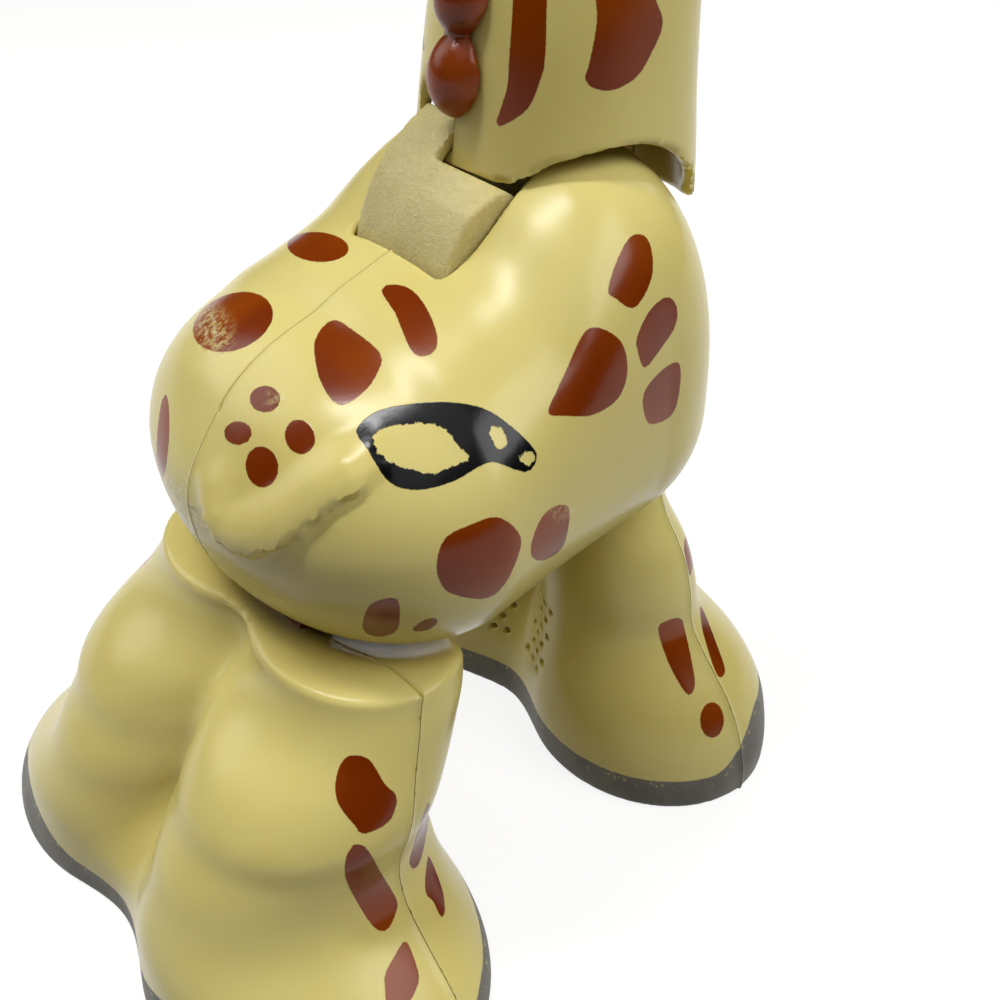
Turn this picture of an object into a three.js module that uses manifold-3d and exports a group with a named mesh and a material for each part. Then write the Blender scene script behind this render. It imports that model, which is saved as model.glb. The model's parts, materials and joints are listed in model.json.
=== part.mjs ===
// A long-necked talking toy figure: a moulded torso on two leg units, with a neck that nods.
// Millimetres. X runs forward, Y to the figure's left, Z up, and the soles stand on Z = 0.
import * as THREE from 'three';
import { mergeVertices } from 'three/addons/utils/BufferGeometryUtils.js';
import Module from 'manifold-3d';

const wasm = await Module();
wasm.setup();

// Walls and clearances
const shell_wall = 2;
const seam_gap = 0.3;
const seat_gap = 0.3;
const swing_gap = 1.0;
const overrun = 8;

// Torso: an ellipsoid round each hip axle, joined by a flat belly, with raised shoulders
const rear_hip_x = -10;
const rear_hip_z = 76;
const rump_radius = 28.3;
const rear_half_width = 40;
const front_hip_x = 26;
const front_hip_z = 76;
const chest_radius = 26.5;
const front_half_width = 34;
const shoulder_rise = 43.7;
const belly_hollow = 1.0;
const back_rise_shares = [
  [0, 0.4], [0.047, 0.439], [0.096, 0.499], [0.163, 0.522], [0.261, 0.547], [0.312, 0.593],
  [0.362, 0.632], [0.428, 0.684], [0.488, 0.746], [0.565, 0.883], [0.631, 0.97], [0.703, 1], [1, 1],
];
const shoulder_power_shares = [
  [0, 2], [0.25, 2.1], [0.4, 2.4], [0.55, 2.9], [0.75, 2.9], [0.9, 2.6], [1, 2.2],
];
const tail_width = 7;
const tail_height = 1.4;
const tail_path_shares = [
  [0.016, 0.3], [0.01, 0.39], [0.02, 0.455], [0.053, 0.42], [0.103, 0.388], [0.159, 0.38], [0.209, 0.38],
];

// Neck joint and the slot behind it
const neck_axle_x = 25.5;
const neck_axle_z = 98.5;
const neck_axle_radius = 2;
const skirt_radius = 22;
const arc_radius = 25.4;
const arc_thickness = 2;
const arc_half_width = 11.2;
const arc_top_angle = 114;
const arc_bottom_angle = 190;
const slot_rear_x = 0;
const slot_front_x = 37;
const slot_floor_z = 96;
const slot_clearance = 0.5;
const slot_half_width = arc_half_width + slot_clearance;

// Neck and head shell
const neck_foot_z = 100;
const neck_height = 96;
const neck_half_depth = 20;
const neck_half_width = 21.5;
const neck_foot_x = 31;
const neck_lean = 13;
const neck_shares = [
  [0, 1, 1.03, 0, 2.5], [0.13, 1, 1, 0.01, 2.5], [0.26, 0.97, 0.95, 0.04, 2.4], [0.4, 0.93, 0.9, 0.12, 2.3],
  [0.58, 0.82, 0.82, 0.32, 2.2], [0.78, 0.72, 0.76, 0.66, 2.1], [1, 0.68, 0.76, 1, 2],
];
const skirt_rear_z = 115.6;
const skirt_front_z = 106;
const skirt_rear_x = 10.5;
const skirt_front_x = 51;
const head_back_x = 24;
const muzzle_tip_x = 84;
const head_rise = 10;
const head_z = neck_foot_z + neck_height + head_rise;
const muzzle_drop = 9;
const head_half_height = 21;
const head_half_width = 20;
const head_shares = [
  [0, 0, 0, 0], [0.06, 0.5, 0.5, 0], [0.2, 0.86, 0.85, 0], [0.36, 1, 1, 0], [0.52, 0.92, 0.9, 0.12],
  [0.66, 0.7, 0.68, 0.55], [0.78, 0.58, 0.6, 0.85], [0.9, 0.56, 0.62, 1], [0.97, 0.4, 0.47, 1], [1, 0, 0, 1],
];
const mane_lobe_radius = 5.2;
const mane_lobe_half_height = 6.9;
const mane_lobe_pitch = 11.4;
const mane_foot_gap = 4.5;
const mane_first_z = neck_axle_z + arc_radius + mane_foot_gap;
const mane_top_rise = 10;
const mane_last_z = head_z + mane_top_rise;
const mane_web = 2.4;
const mane_end_share = 0.96;
const mane_rings_per_lobe = 5;
const ossicone_x = 44;
const ossicone_y = 9;
const ossicone_height = 20;
const ossicone_radius = 3.2;
const ossicone_knob_radius = 4.6;
const ossicone_root_share = 0.7;
const ear_x = 37;
const ear_rise = 7;
const ear_z = head_z + ear_rise;
const ear_length = 26;
const ear_half_width = 7.5;
const ear_half_thickness = 3;
const ear_lift = 25;
const ear_root_share = 0.85;
const ear_peg_share = 0.2;
const eye_x = 60;
const eye_rise = 4;
const eye_z = head_z + eye_rise;
const eye_radius = 4.6;

// Rear leg unit: sections by height, each two lobes with a groove between them
const rear_unit_height = 54;
const rear_sole_half_width = 58;
const rear_sole_back_x = -68;
const rear_sole_front_x = -13.5;
const rear_seam_foot_x = -31;
const rear_seam_top_x = -22.2;
const rear_seam_knee_share = 0.57;
const rear_leg_shares = [
  [0, 0, -0.023, 1, 0.7], [0.074, 0.01, -0.007, 0.985, 0.7], [0.167, 0.03, 0.022, 0.908, 0.69],
  [0.241, 0.035, 0.033, 0.818, 0.79], [0.333, 0.057, 0.025, 0.717, 0.89],
  [0.463, 0.131, 0.017, 0.669, 0.91], [0.574, 0.24, -0.018, 0.666, 0.93],
  [0.63, 0.272, -0.027, 0.672, 0.95], [0.704, 0.338, -0.06, 0.655, 0.93],
  [0.759, 0.392, -0.091, 0.637, 0.89], [0.833, 0.498, -0.109, 0.622, 0.85],
  [0.907, 0.557, -0.132, 0.61, 0.82], [0.963, 0.578, -0.145, 0.591, 0.76], [1, 0.58, -0.158, 0.587, 0.66],
];

// Front leg unit
const front_unit_height = 58;
const front_sole_half_width = 47;
const front_sole_back_x = 18.2;
const front_sole_front_x = 62.3;
const front_seam_foot_x = 41;
const front_seam_top_x = 39;
const front_seam_knee_share = 0;
const front_leg_shares = [
  [0, 0, 0, 1, 0.8], [0.07, -0.005, -0.01, 1, 0.8], [0.155, 0, -0.01, 0.98, 0.8],
  [0.24, 0.02, 0.007, 0.95, 0.8], [0.345, 0.05, 0.063, 0.88, 0.82], [0.45, 0.09, 0.154, 0.76, 0.86],
  [0.535, 0.12, 0.234, 0.675, 0.88], [0.655, 0.15, 0.28, 0.65, 0.88], [0.79, 0.18, 0.32, 0.6, 0.86],
  [0.91, 0.2, 0.37, 0.5, 0.8], [1, 0.21, 0.38, 0.46, 0.8],
];
const groove_power = 10;
const front_groove_ease = 0.62;

// Hip arms, from the axle through the belly slot into the leg unit
const hip_axle_radius = 2;
const rear_saddle_gap = 2.2;
const rear_saddle_side_gap = 3;
const hip_arm_half_width = 7;
const hip_arm_thickness = 7;
const hip_hub_radius = 6;
const rear_arm_angle = 243;
const front_arm_angle = 286;
const arm_reach = 8;
const hip_slot_gap = 0.7;
const hip_swing_degrees = 8;
const axle_clearance = 0.2;
const boss_wall = 2.2;

// Soles, batteries and door
const sole_thickness = 2.4;
const cell_radius = 5.1;
const cell_length = 44.4;
const cell_pitch = 10.7;
const cell_count = 3;
const tray_wall = 1.5;
const cell_room = 0.4;
const cell_end_room = 1.8;
const battery_share = 0.523;
const battery_x = rear_sole_back_x + (rear_sole_front_x - rear_sole_back_x) * battery_share;
const contact_thickness = 0.5;
const contact_half_width = 3;
const door_tongue = 8.4;
const switch_x_share = 0.495;
const switch_x = rear_sole_back_x + (rear_sole_front_x - rear_sole_back_x) * switch_x_share;
const switch_y_share = 0.732;
const switch_y = rear_sole_half_width * switch_y_share;
const switch_length = 7;
const switch_width = 5;
const switch_travel = 3;
const switch_recess = 0.6;

// Speaker behind the holes in the front unit
const speaker_z = 22;
const speaker_setback = 9.6;
const speaker_front_x = front_sole_back_x + speaker_setback;
const speaker_radius = 13;
const speaker_depth = 5;
const magnet_radius = 7;
const magnet_depth = 4;
const sound_hole_radius = 0.65;
const sound_hole_pitch = 2.9;
const sound_hole_columns = 3;
const sound_hole_rows = 6;
const sound_hole_first_y = 3.4;

// Screws
const screw_radius = 1.2;
const screw_head_radius = 2.4;
const screw_head_height = 1.6;
const screw_clearance = 0.3;

// Circuit board and the switch that the neck works
const board_half_length = 17;
const board_half_height = 12;
const board_thickness = 1.6;
const board_x = 1;
const board_z = 84;
const board_y = 14;
const chip_radius = 4;
const chip_height = 1.6;
const neck_switch_x = 15;
const neck_switch_z = 89;
const neck_switch_size = 6;
const neck_switch_depth = 5;

// Colours
const yellow = { color: 0xe9dc98, roughness: 0.35, metalness: 0 };
const beige = { color: 0xd8cd95, roughness: 0.45, metalness: 0 };
const mane_brown = { color: 0x9c4f14, roughness: 0.25, metalness: 0 };
const hub_brown = { color: 0x8a4a32, roughness: 0.5, metalness: 0 };
const sole_grey = { color: 0x6e6c66, roughness: 0.6, metalness: 0 };
const eye_black = { color: 0x15110e, roughness: 0.15, metalness: 0 };
const steel = { color: 0xb9bcc0, roughness: 0.3, metalness: 1 };
const board_green = { color: 0x2c6b3a, roughness: 0.5, metalness: 0 };
const dark_plastic = { color: 0x2b2b2d, roughness: 0.5, metalness: 0 };
const cell_green = { color: 0x4b8f4e, roughness: 0.35, metalness: 0.2 };

// How finely each form is cut: facets round it, then along it
const torso_facets = [30, 16];
const torso_inner_facets = [16, 8];
const neck_facets = [24, 8];
const neck_inner_facets = [14, 4];
const head_facets = [18, 9];
const head_inner_facets = [12, 6];
const leg_facets = [32, 12];
const leg_inner_facets = [14, 7];
const leg_trim_facets = [24, 8];
const saddle_facets = [26, 14];
const saddle_inner_facets = [14, 8];
const small_facets = [12, 6];
const arch_sides = 40;
const mane_sides = 10;
const sound_hole_sides = 6;
const speaker_sides = 24;
const hub_sides = 20;
const bore_sides = 6;
const boss_sides = 8;

const toy = new THREE.Group();

// Solids: a geometry becomes a solid that can be joined and cut, and comes back as a mesh
function solid_of(geometry) {
  const plain = geometry.clone();
  plain.deleteAttribute('normal');
  plain.deleteAttribute('uv');
  const merged = mergeVertices(plain, 1e-5);
  return new wasm.Manifold(new wasm.Mesh({
    numProp: 3,
    vertProperties: new Float32Array(merged.attributes.position.array),
    triVerts: new Uint32Array(merged.index.array),
  }));
}

function geometry_of(solid) {
  const mesh = solid.getMesh();
  const geometry = new THREE.BufferGeometry();
  geometry.setAttribute('position', new THREE.BufferAttribute(new Float32Array(mesh.vertProperties), 3));
  geometry.setIndex(new THREE.BufferAttribute(new Uint32Array(mesh.triVerts), 1));
  geometry.computeVertexNormals();
  return geometry;
}

function add_part(name, solid, finish) {
  const mesh = new THREE.Mesh(geometry_of(solid), new THREE.MeshStandardMaterial(finish));
  mesh.name = name;
  toy.add(mesh);
}

// Like pieces, each its own node with a number
function add_parts(name, solids, finish) {
  solids.forEach((solid, index) => add_part(name + '_' + (index + 1), solid, finish));
}

function join(solids) {
  return solids.reduce((whole, piece) => whole.add(piece));
}

function cut(solid, cutters) {
  return cutters.reduce((left, cutter) => left.subtract(cutter), solid);
}

function box(low, high) {
  const size = high.map((value, axis) => value - low[axis]);
  const geometry = new THREE.BoxGeometry(...size);
  geometry.translate(...low.map((value, axis) => value + size[axis] / 2));
  return solid_of(geometry);
}

// A rod along X, Y or Z between two ends; centre holds its place on all three axes
function rod(axis, radius, from, to, centre, sides = 16) {
  const length = Math.abs(to - from);
  const geometry = new THREE.CylinderGeometry(radius, radius, length, sides);
  geometry.rotateY(Math.PI / sides);
  if (axis === 'x') geometry.rotateZ(Math.PI / 2);
  if (axis === 'z') geometry.rotateX(Math.PI / 2);
  const middle = (from + to) / 2;
  geometry.translate(...['x', 'y', 'z'].map((name, k) => (name === axis ? middle : centre[k])));
  return solid_of(geometry);
}

function ellipsoid(radii, centre, around = 32, along = 20) {
  const geometry = new THREE.SphereGeometry(1, around, along);
  geometry.scale(...radii);
  geometry.translate(...centre);
  return solid_of(geometry);
}

// A plate whose outline lies in the XZ plane, between two Y values
function side_plate(outline, low_y, high_y) {
  const shape = new THREE.Shape(outline.map(([x, z]) => new THREE.Vector2(x, z)));
  const geometry = new THREE.ExtrudeGeometry(shape, { depth: high_y - low_y, bevelEnabled: false });
  geometry.rotateX(Math.PI / 2);
  geometry.translate(0, high_y, 0);
  return solid_of(geometry);
}

// A loft through rings of equal count; with end points it closes to them, else to the rings' centres
function loft(rings, start, end) {
  const count = rings[0].length;
  const centre_of = (ring) => {
    return ring.reduce((sum, p) => sum.add(p), new THREE.Vector3()).divideScalar(count);
  };
  const points = [...rings.flat(), start ?? centre_of(rings[0]), end ?? centre_of(rings.at(-1))];
  const faces = [];
  for (let row = 0; row < rings.length - 1; row++) {
    for (let i = 0; i < count; i++) {
      const here = row * count + i;
      const next = row * count + (i + 1) % count;
      faces.push(here, next, next + count, here, next + count, here + count);
    }
  }
  const first = points.length - 2;
  const last = points.length - 1;
  const base = (rings.length - 1) * count;
  for (let i = 0; i < count; i++) {
    faces.push(first, (i + 1) % count, i, last, base + i, base + (i + 1) % count);
  }
  const geometry = new THREE.BufferGeometry();
  geometry.setAttribute('position', new THREE.Float32BufferAttribute(points.flatMap((p) => p.toArray()), 3));
  geometry.setIndex(faces);
  const solid = solid_of(geometry);
  if (solid.volume() > 0) return solid;
  for (let i = 0; i < faces.length; i += 3) {
    [faces[i], faces[i + 1]] = [faces[i + 1], faces[i]];
  }
  geometry.setIndex(faces);
  return solid_of(geometry);
}

// Smooth value at a place in a table whose rows start with that place
function smooth_value(table, place, column = 1) {
  const last = table.length - 1;
  if (place <= table[0][0]) return table[0][column];
  if (place >= table[last][0]) return table[last][column];
  const row = table.findIndex((entry) => entry[0] > place) - 1;
  const slope = (i) => {
    const low = Math.max(i - 1, 0);
    const high = Math.min(i + 1, last);
    return (table[high][column] - table[low][column]) / (table[high][0] - table[low][0]);
  };
  const span = table[row + 1][0] - table[row][0];
  const t = (place - table[row][0]) / span;
  const rise = table[row + 1][column] - table[row][column];
  const start = slope(row) * span;
  const finish = slope(row + 1) * span;
  return table[row][column] + start * t + (3 * rise - 2 * start - finish) * t * t
    + (start + finish - 2 * rise) * t * t * t;
}

const mix = (low, high, share) => low + (high - low) * share;
const clamp = (value) => Math.min(Math.max(value, 0), 1);
const signed_power = (value, power) => Math.sign(value) * Math.abs(value) ** power;
const radians = (degrees) => degrees * Math.PI / 180;
const polar = (x, z, radius, degrees) => [
  x + radius * Math.cos(radians(degrees)), z + radius * Math.sin(radians(degrees)),
];

// The torso's skin at a distance along X and a share of a turn round it, moved in by inset
const rump_x = rear_hip_x - rump_radius;
const chest_x = front_hip_x + chest_radius;

function torso_point(x, turn, inset) {
  const rear = rump_radius - inset;
  const front = chest_radius - inset;
  const share = clamp((x - rear_hip_x) / (front_hip_x - rear_hip_x));
  const length_share = (x - rump_x) / (chest_x - rump_x);
  let end_share = 1;
  if (x < rear_hip_x) end_share = Math.sqrt(Math.max(0, 1 - ((x - rear_hip_x) / rear) ** 2));
  if (x > front_hip_x) end_share = Math.sqrt(Math.max(0, 1 - ((x - front_hip_x) / front) ** 2));
  const middle_z = mix(rear_hip_z, front_hip_z, share);
  const half_width = (mix(rear_half_width, front_half_width, share) - inset) * end_share;
  const rise = (shoulder_rise * smooth_value(back_rise_shares, length_share) - inset) * end_share;
  const drop = (mix(rear, front, share) - belly_hollow * Math.sin(Math.PI * share)) * end_share;
  const angle = turn * 2 * Math.PI;
  const upper = Math.sin(angle) > 0;
  const power = upper ? 2 / smooth_value(shoulder_power_shares, length_share) : 1;
  const y = half_width * signed_power(Math.cos(angle), power);
  const z = middle_z + (upper ? rise : drop) * signed_power(Math.sin(angle), power);
  return new THREE.Vector3(x, y, z);
}

function torso_solid(inset, around, along) {
  const low = rump_x + inset;
  const high = chest_x - inset;
  const rings = [];
  for (let i = 1; i < along; i++) {
    const x = mix(low, high, (1 - Math.cos(Math.PI * i / along)) / 2);
    rings.push(Array.from({ length: around }, (_, k) => torso_point(x, k / around, inset)));
  }
  return loft(rings, new THREE.Vector3(low, 0, rear_hip_z), new THREE.Vector3(high, 0, front_hip_z));
}

// The tail in relief: a half-sunk cord of flat section that follows the skin
function tail_relief() {
  const curve = new THREE.CatmullRomCurve3(tail_path_shares.map(([along, turn]) => {
    return torso_point(mix(rump_x, chest_x, along), turn, 0);
  }));
  const steps = 12;
  const sides = 6;
  const rings = [];
  for (let i = 0; i <= steps; i++) {
    const point = curve.getPoint(i / steps);
    const ahead = curve.getTangent(i / steps);
    const out = new THREE.Vector3(point.x - rear_hip_x, point.y, point.z - rear_hip_z);
    out.addScaledVector(ahead, -out.dot(ahead)).normalize();
    const across = new THREE.Vector3().crossVectors(ahead, out);
    const size = Math.sin(Math.PI * mix(0.12, 0.9, i / steps)) ** 0.5;
    rings.push(Array.from({ length: sides }, (_, k) => {
      const angle = 2 * Math.PI * k / sides;
      return point.clone()
        .addScaledVector(across, tail_width / 2 * size * Math.cos(angle))
        .addScaledVector(out, tail_height * size * Math.sin(angle));
    }));
  }
  return loft(rings);
}

const far_reach = 2 * (head_z + head_half_height);
const half_space = {
  left: (gap) => box([-far_reach, gap, -far_reach], [far_reach, far_reach, far_reach]),
  right: (gap) => box([-far_reach, -far_reach, -far_reach], [far_reach, -gap, far_reach]),
};

// The seam of a leg unit stands upright to its knee and leans from there to its top
function behind_seam(unit, gap) {
  const knee_z = unit.height * unit.seam_knee_share;
  const lean = (unit.seam_top_x - unit.seam_foot_x) / (unit.height - knee_z);
  const foot_x = unit.seam_foot_x - gap;
  const outline = [
    [-far_reach, -far_reach], [foot_x, -far_reach], [foot_x, knee_z],
    [foot_x + lean * (far_reach - knee_z), far_reach], [-far_reach, far_reach],
  ];
  return side_plate(outline, -far_reach, far_reach);
}

// Hip geometry that torso, arms and leg units share
const rear_hip = {
  x: rear_hip_x, z: rear_hip_z, radius: rump_radius, angle: rear_arm_angle,
  saddle_radius: rump_radius + rear_saddle_gap, saddle_half_width: rear_half_width + rear_saddle_side_gap,
};
const front_hip = {
  x: front_hip_x, z: front_hip_z, radius: chest_radius, angle: front_arm_angle,
  saddle_radius: chest_radius + swing_gap, saddle_half_width: front_half_width + swing_gap,
};

function saddle(hip, grow, around, along) {
  const radii = [hip.saddle_radius + grow, hip.saddle_half_width + grow, hip.saddle_radius + grow];
  return ellipsoid(radii, [hip.x, 0, hip.z], around, along);
}

function arm_bar(hip, from, to, thickness, half_width, degrees = hip.angle) {
  const side = thickness / 2;
  const along = [Math.cos(radians(degrees)), Math.sin(radians(degrees))];
  const corner = (reach, offset) => [
    hip.x + along[0] * reach - along[1] * offset, hip.z + along[1] * reach + along[0] * offset,
  ];
  const outline = [corner(from, -side), corner(to, -side), corner(to, side), corner(from, side)];
  return side_plate(outline, -half_width, half_width);
}

function belly_slot(hip) {
  const inner = hip.radius - shell_wall * 3;
  const outer = hip.radius + shell_wall;
  const arm_angle = Math.asin((hip_arm_thickness / 2 + hip_slot_gap) / inner) * 180 / Math.PI;
  const half_angle = hip_swing_degrees + arm_angle;
  const steps = 6;
  const outline = [];
  for (let i = 0; i <= steps; i++) {
    outline.push(polar(hip.x, hip.z, outer, mix(hip.angle - half_angle, hip.angle + half_angle, i / steps)));
  }
  for (let i = steps; i >= 0; i--) {
    outline.push(polar(hip.x, hip.z, inner, mix(hip.angle - half_angle, hip.angle + half_angle, i / steps)));
  }
  return side_plate(outline, -hip_arm_half_width - hip_slot_gap, hip_arm_half_width + hip_slot_gap);
}

// Bosses from the shell wall inward, for an axle or a screw, trimmed to the torso's skin
const hub_half_width = arc_half_width;
const boss_start_y = hub_half_width + seat_gap;
const boss_end_y = front_half_width + overrun;
const torso_screw_shares = [[0.132, 0.21], [0.444, -0.495], [0.917, 0.07], [0.312, 0.6]];
const torso_screw_places = torso_screw_shares.map(([along, up]) => {
  return [mix(rump_x, chest_x, along), rear_hip_z + rump_radius * up];
});
const axles = [
  { name: 'neck_axle', x: neck_axle_x, z: neck_axle_z, radius: neck_axle_radius },
  { name: 'rear_hip_axle', x: rear_hip_x, z: rear_hip_z, radius: hip_axle_radius },
  { name: 'front_hip_axle', x: front_hip_x, z: front_hip_z, radius: hip_axle_radius },
];
const axle_half_length = 28;

// A screw across the middle plane, its head sunk in the left half
function cross_screw([x, z]) {
  const head_y = boss_start_y + seat_gap;
  const centre = [x, 0, z];
  return rod('y', screw_radius, seat_gap - boss_start_y, head_y + screw_head_height / 2, centre, bore_sides)
    .add(rod('y', screw_head_radius, head_y, head_y + screw_head_height, centre, bore_sides));
}

function make_torso() {
  const skin = torso_solid(0, ...torso_facets);
  const trim = torso_solid(shell_wall / 2, ...torso_inner_facets);
  let shell = skin.subtract(torso_solid(shell_wall, ...torso_inner_facets));
  shell = shell.add(tail_relief().subtract(torso_solid(shell_wall / 2, ...torso_inner_facets)));
  const axle_bosses = axles.flatMap(({ x, z, radius }) => [-1, 1].map((side) => {
    return rod('y', radius + boss_wall, side * boss_start_y, side * boss_end_y, [x, 0, z], boss_sides);
  }));
  const screw_bosses = torso_screw_places.map(([x, z]) => {
    return rod('y', screw_head_radius + boss_wall, -boss_end_y, boss_end_y, [x, 0, z], boss_sides);
  });
  shell = shell.add(join([...axle_bosses, ...screw_bosses]).intersect(trim));
  const slot = box(
    [slot_rear_x, -slot_half_width, slot_floor_z],
    [slot_front_x, slot_half_width, neck_axle_z + skirt_radius + overrun],
  );
  const axle_bores = axles.map(({ x, z, radius }) => {
    const end = axle_half_length + seat_gap;
    return rod('y', radius + axle_clearance, -end, end, [x, 0, z], boss_sides);
  });
  const screw_bores = torso_screw_places.flatMap(([x, z]) => [
    rod('y', screw_radius + screw_clearance, -boss_start_y, boss_end_y, [x, 0, z], bore_sides),
    rod('y', screw_head_radius + screw_clearance, boss_start_y, boss_end_y, [x, 0, z], bore_sides),
  ]);
  shell = cut(shell, [slot, belly_slot(rear_hip), belly_slot(front_hip), ...axle_bores, ...screw_bores]);
  add_part('torso_shell_left', shell.intersect(half_space.left(seam_gap / 2)), yellow);
  add_part('torso_shell_right', shell.intersect(half_space.right(seam_gap / 2)), yellow);
  axles.forEach(({ name, x, z, radius }) => {
    add_part(name, rod('y', radius, -axle_half_length, axle_half_length, [x, 0, z], 12), steel);
  });
  add_parts('torso_screw', torso_screw_places.map(cross_screw), steel);
}

// The circuit board stands between the screw bosses of the right half, with its chip facing in
function make_electronics() {
  const board = box(
    [board_x - board_half_length, -board_y - board_thickness, board_z - board_half_height],
    [board_x + board_half_length, -board_y, board_z + board_half_height],
  );
  const keepouts = [...axles.map(({ x, z, radius }) => [x, z, radius + boss_wall]),
    ...torso_screw_places.map(([x, z]) => [x, z, screw_head_radius + boss_wall])];
  const holes = keepouts.map(([x, z, radius]) => {
    return rod('y', radius + seat_gap, -boss_end_y, boss_end_y, [x, 0, z], 16);
  });
  const room = torso_solid(shell_wall + 2 * seat_gap, ...torso_inner_facets);
  add_part('circuit_board', cut(board.intersect(room), holes), board_green);
  const face_y = seat_gap - board_y;
  const chip_centre = [board_x + chip_radius, face_y, board_z + chip_radius / 2];
  const over_board = box([-far_reach, face_y, -far_reach], [far_reach, far_reach, far_reach]);
  const chip = ellipsoid([chip_radius, chip_height, chip_radius], chip_centre, ...small_facets);
  add_part('board_chip', chip.intersect(over_board), dark_plastic);
  const half = neck_switch_size / 2;
  add_part('neck_switch', box(
    [neck_switch_x - half, face_y, neck_switch_z - half],
    [neck_switch_x + half, face_y + neck_switch_depth, neck_switch_z + half],
  ), dark_plastic);
}

// Neck and head: rings round the neck's axis, then rings along the head
function neck_ring(height, inset, around) {
  const share = (height - neck_foot_z) / neck_height;
  const depth = neck_half_depth * smooth_value(neck_shares, share, 1) - inset;
  const width = neck_half_width * smooth_value(neck_shares, share, 2) - inset;
  const x = neck_foot_x + neck_lean * smooth_value(neck_shares, share, 3);
  const power = 2 / smooth_value(neck_shares, share, 4);
  return Array.from({ length: around }, (_, k) => {
    const angle = 2 * Math.PI * k / around;
    return new THREE.Vector3(
      x + depth * signed_power(Math.cos(angle), power),
      width * signed_power(Math.sin(angle), power),
      height,
    );
  });
}

function neck_solid(inset, around, along) {
  return loft(Array.from({ length: along + 1 }, (_, i) => {
    return neck_ring(neck_foot_z + neck_height * i / along, inset, around);
  }));
}

function head_ring(share, inset, around) {
  const height = Math.max(0, head_half_height * smooth_value(head_shares, share, 1) - inset);
  const width = Math.max(0, head_half_width * smooth_value(head_shares, share, 2) - inset);
  const x = mix(head_back_x, muzzle_tip_x, share);
  const z = head_z - muzzle_drop * smooth_value(head_shares, share, 3);
  return Array.from({ length: around }, (_, k) => {
    const angle = 2 * Math.PI * k / around;
    return new THREE.Vector3(x, width * Math.cos(angle), z + height * Math.sin(angle));
  });
}

function head_solid(inset, around, along) {
  const start_share = inset > 0 ? 0.08 : 0;
  const end_share = inset > 0 ? 0.94 : 1;
  const rings = [];
  for (let i = 1; i < along; i++) {
    const along_share = (1 - Math.cos(Math.PI * i / along)) / 2;
    rings.push(head_ring(mix(start_share, end_share, along_share), inset, around));
  }
  const start = new THREE.Vector3(mix(head_back_x, muzzle_tip_x, start_share), 0, head_z);
  const end = new THREE.Vector3(mix(head_back_x, muzzle_tip_x, end_share), 0, head_z - muzzle_drop);
  return loft(rings, start, end);
}

function neck_outside(inset) {
  return neck_solid(inset, ...neck_facets).add(head_solid(inset, ...head_facets));
}

function neck_inside(inset) {
  return neck_solid(inset, ...neck_inner_facets).add(head_solid(inset, ...head_inner_facets));
}

// The block of the cradle that the neck halves clamp, and the screws through them
const cradle_half_width = 8;
const cradle_half_depth = 9;
const cradle_top_share = 0.417;
const cradle_top_z = neck_foot_z + neck_height * cradle_top_share;
const cradle_back_x = neck_foot_x - cradle_half_depth;
const cradle_front_x = neck_foot_x + cradle_half_depth;
const neck_screw_shares = [[0, 0.344], [0.54, 0.75], [1.46, 1.03]];
const neck_screw_places = neck_screw_shares.map(([lean, rise]) => {
  return [neck_foot_x + neck_lean * lean, neck_foot_z + neck_height * rise];
});

function finger_outline(inner, outer, from, to) {
  const steps = 8;
  const outline = [];
  for (let i = 0; i <= steps; i++) {
    outline.push(polar(neck_axle_x, neck_axle_z, outer, mix(from, to, i / steps)));
  }
  for (let i = steps; i >= 0; i--) {
    outline.push(polar(neck_axle_x, neck_axle_z, inner, mix(from, to, i / steps)));
  }
  return outline;
}

const finger_low_y = -1;
const rib_top_angle = 146;
const rib_bottom_angle = 175;
const step_angle = 145.5;
const step_front_angle = 129;
const step_height_share = 0.6;
const notch_slack = 1.5;
const notch_tail = 14;

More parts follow.
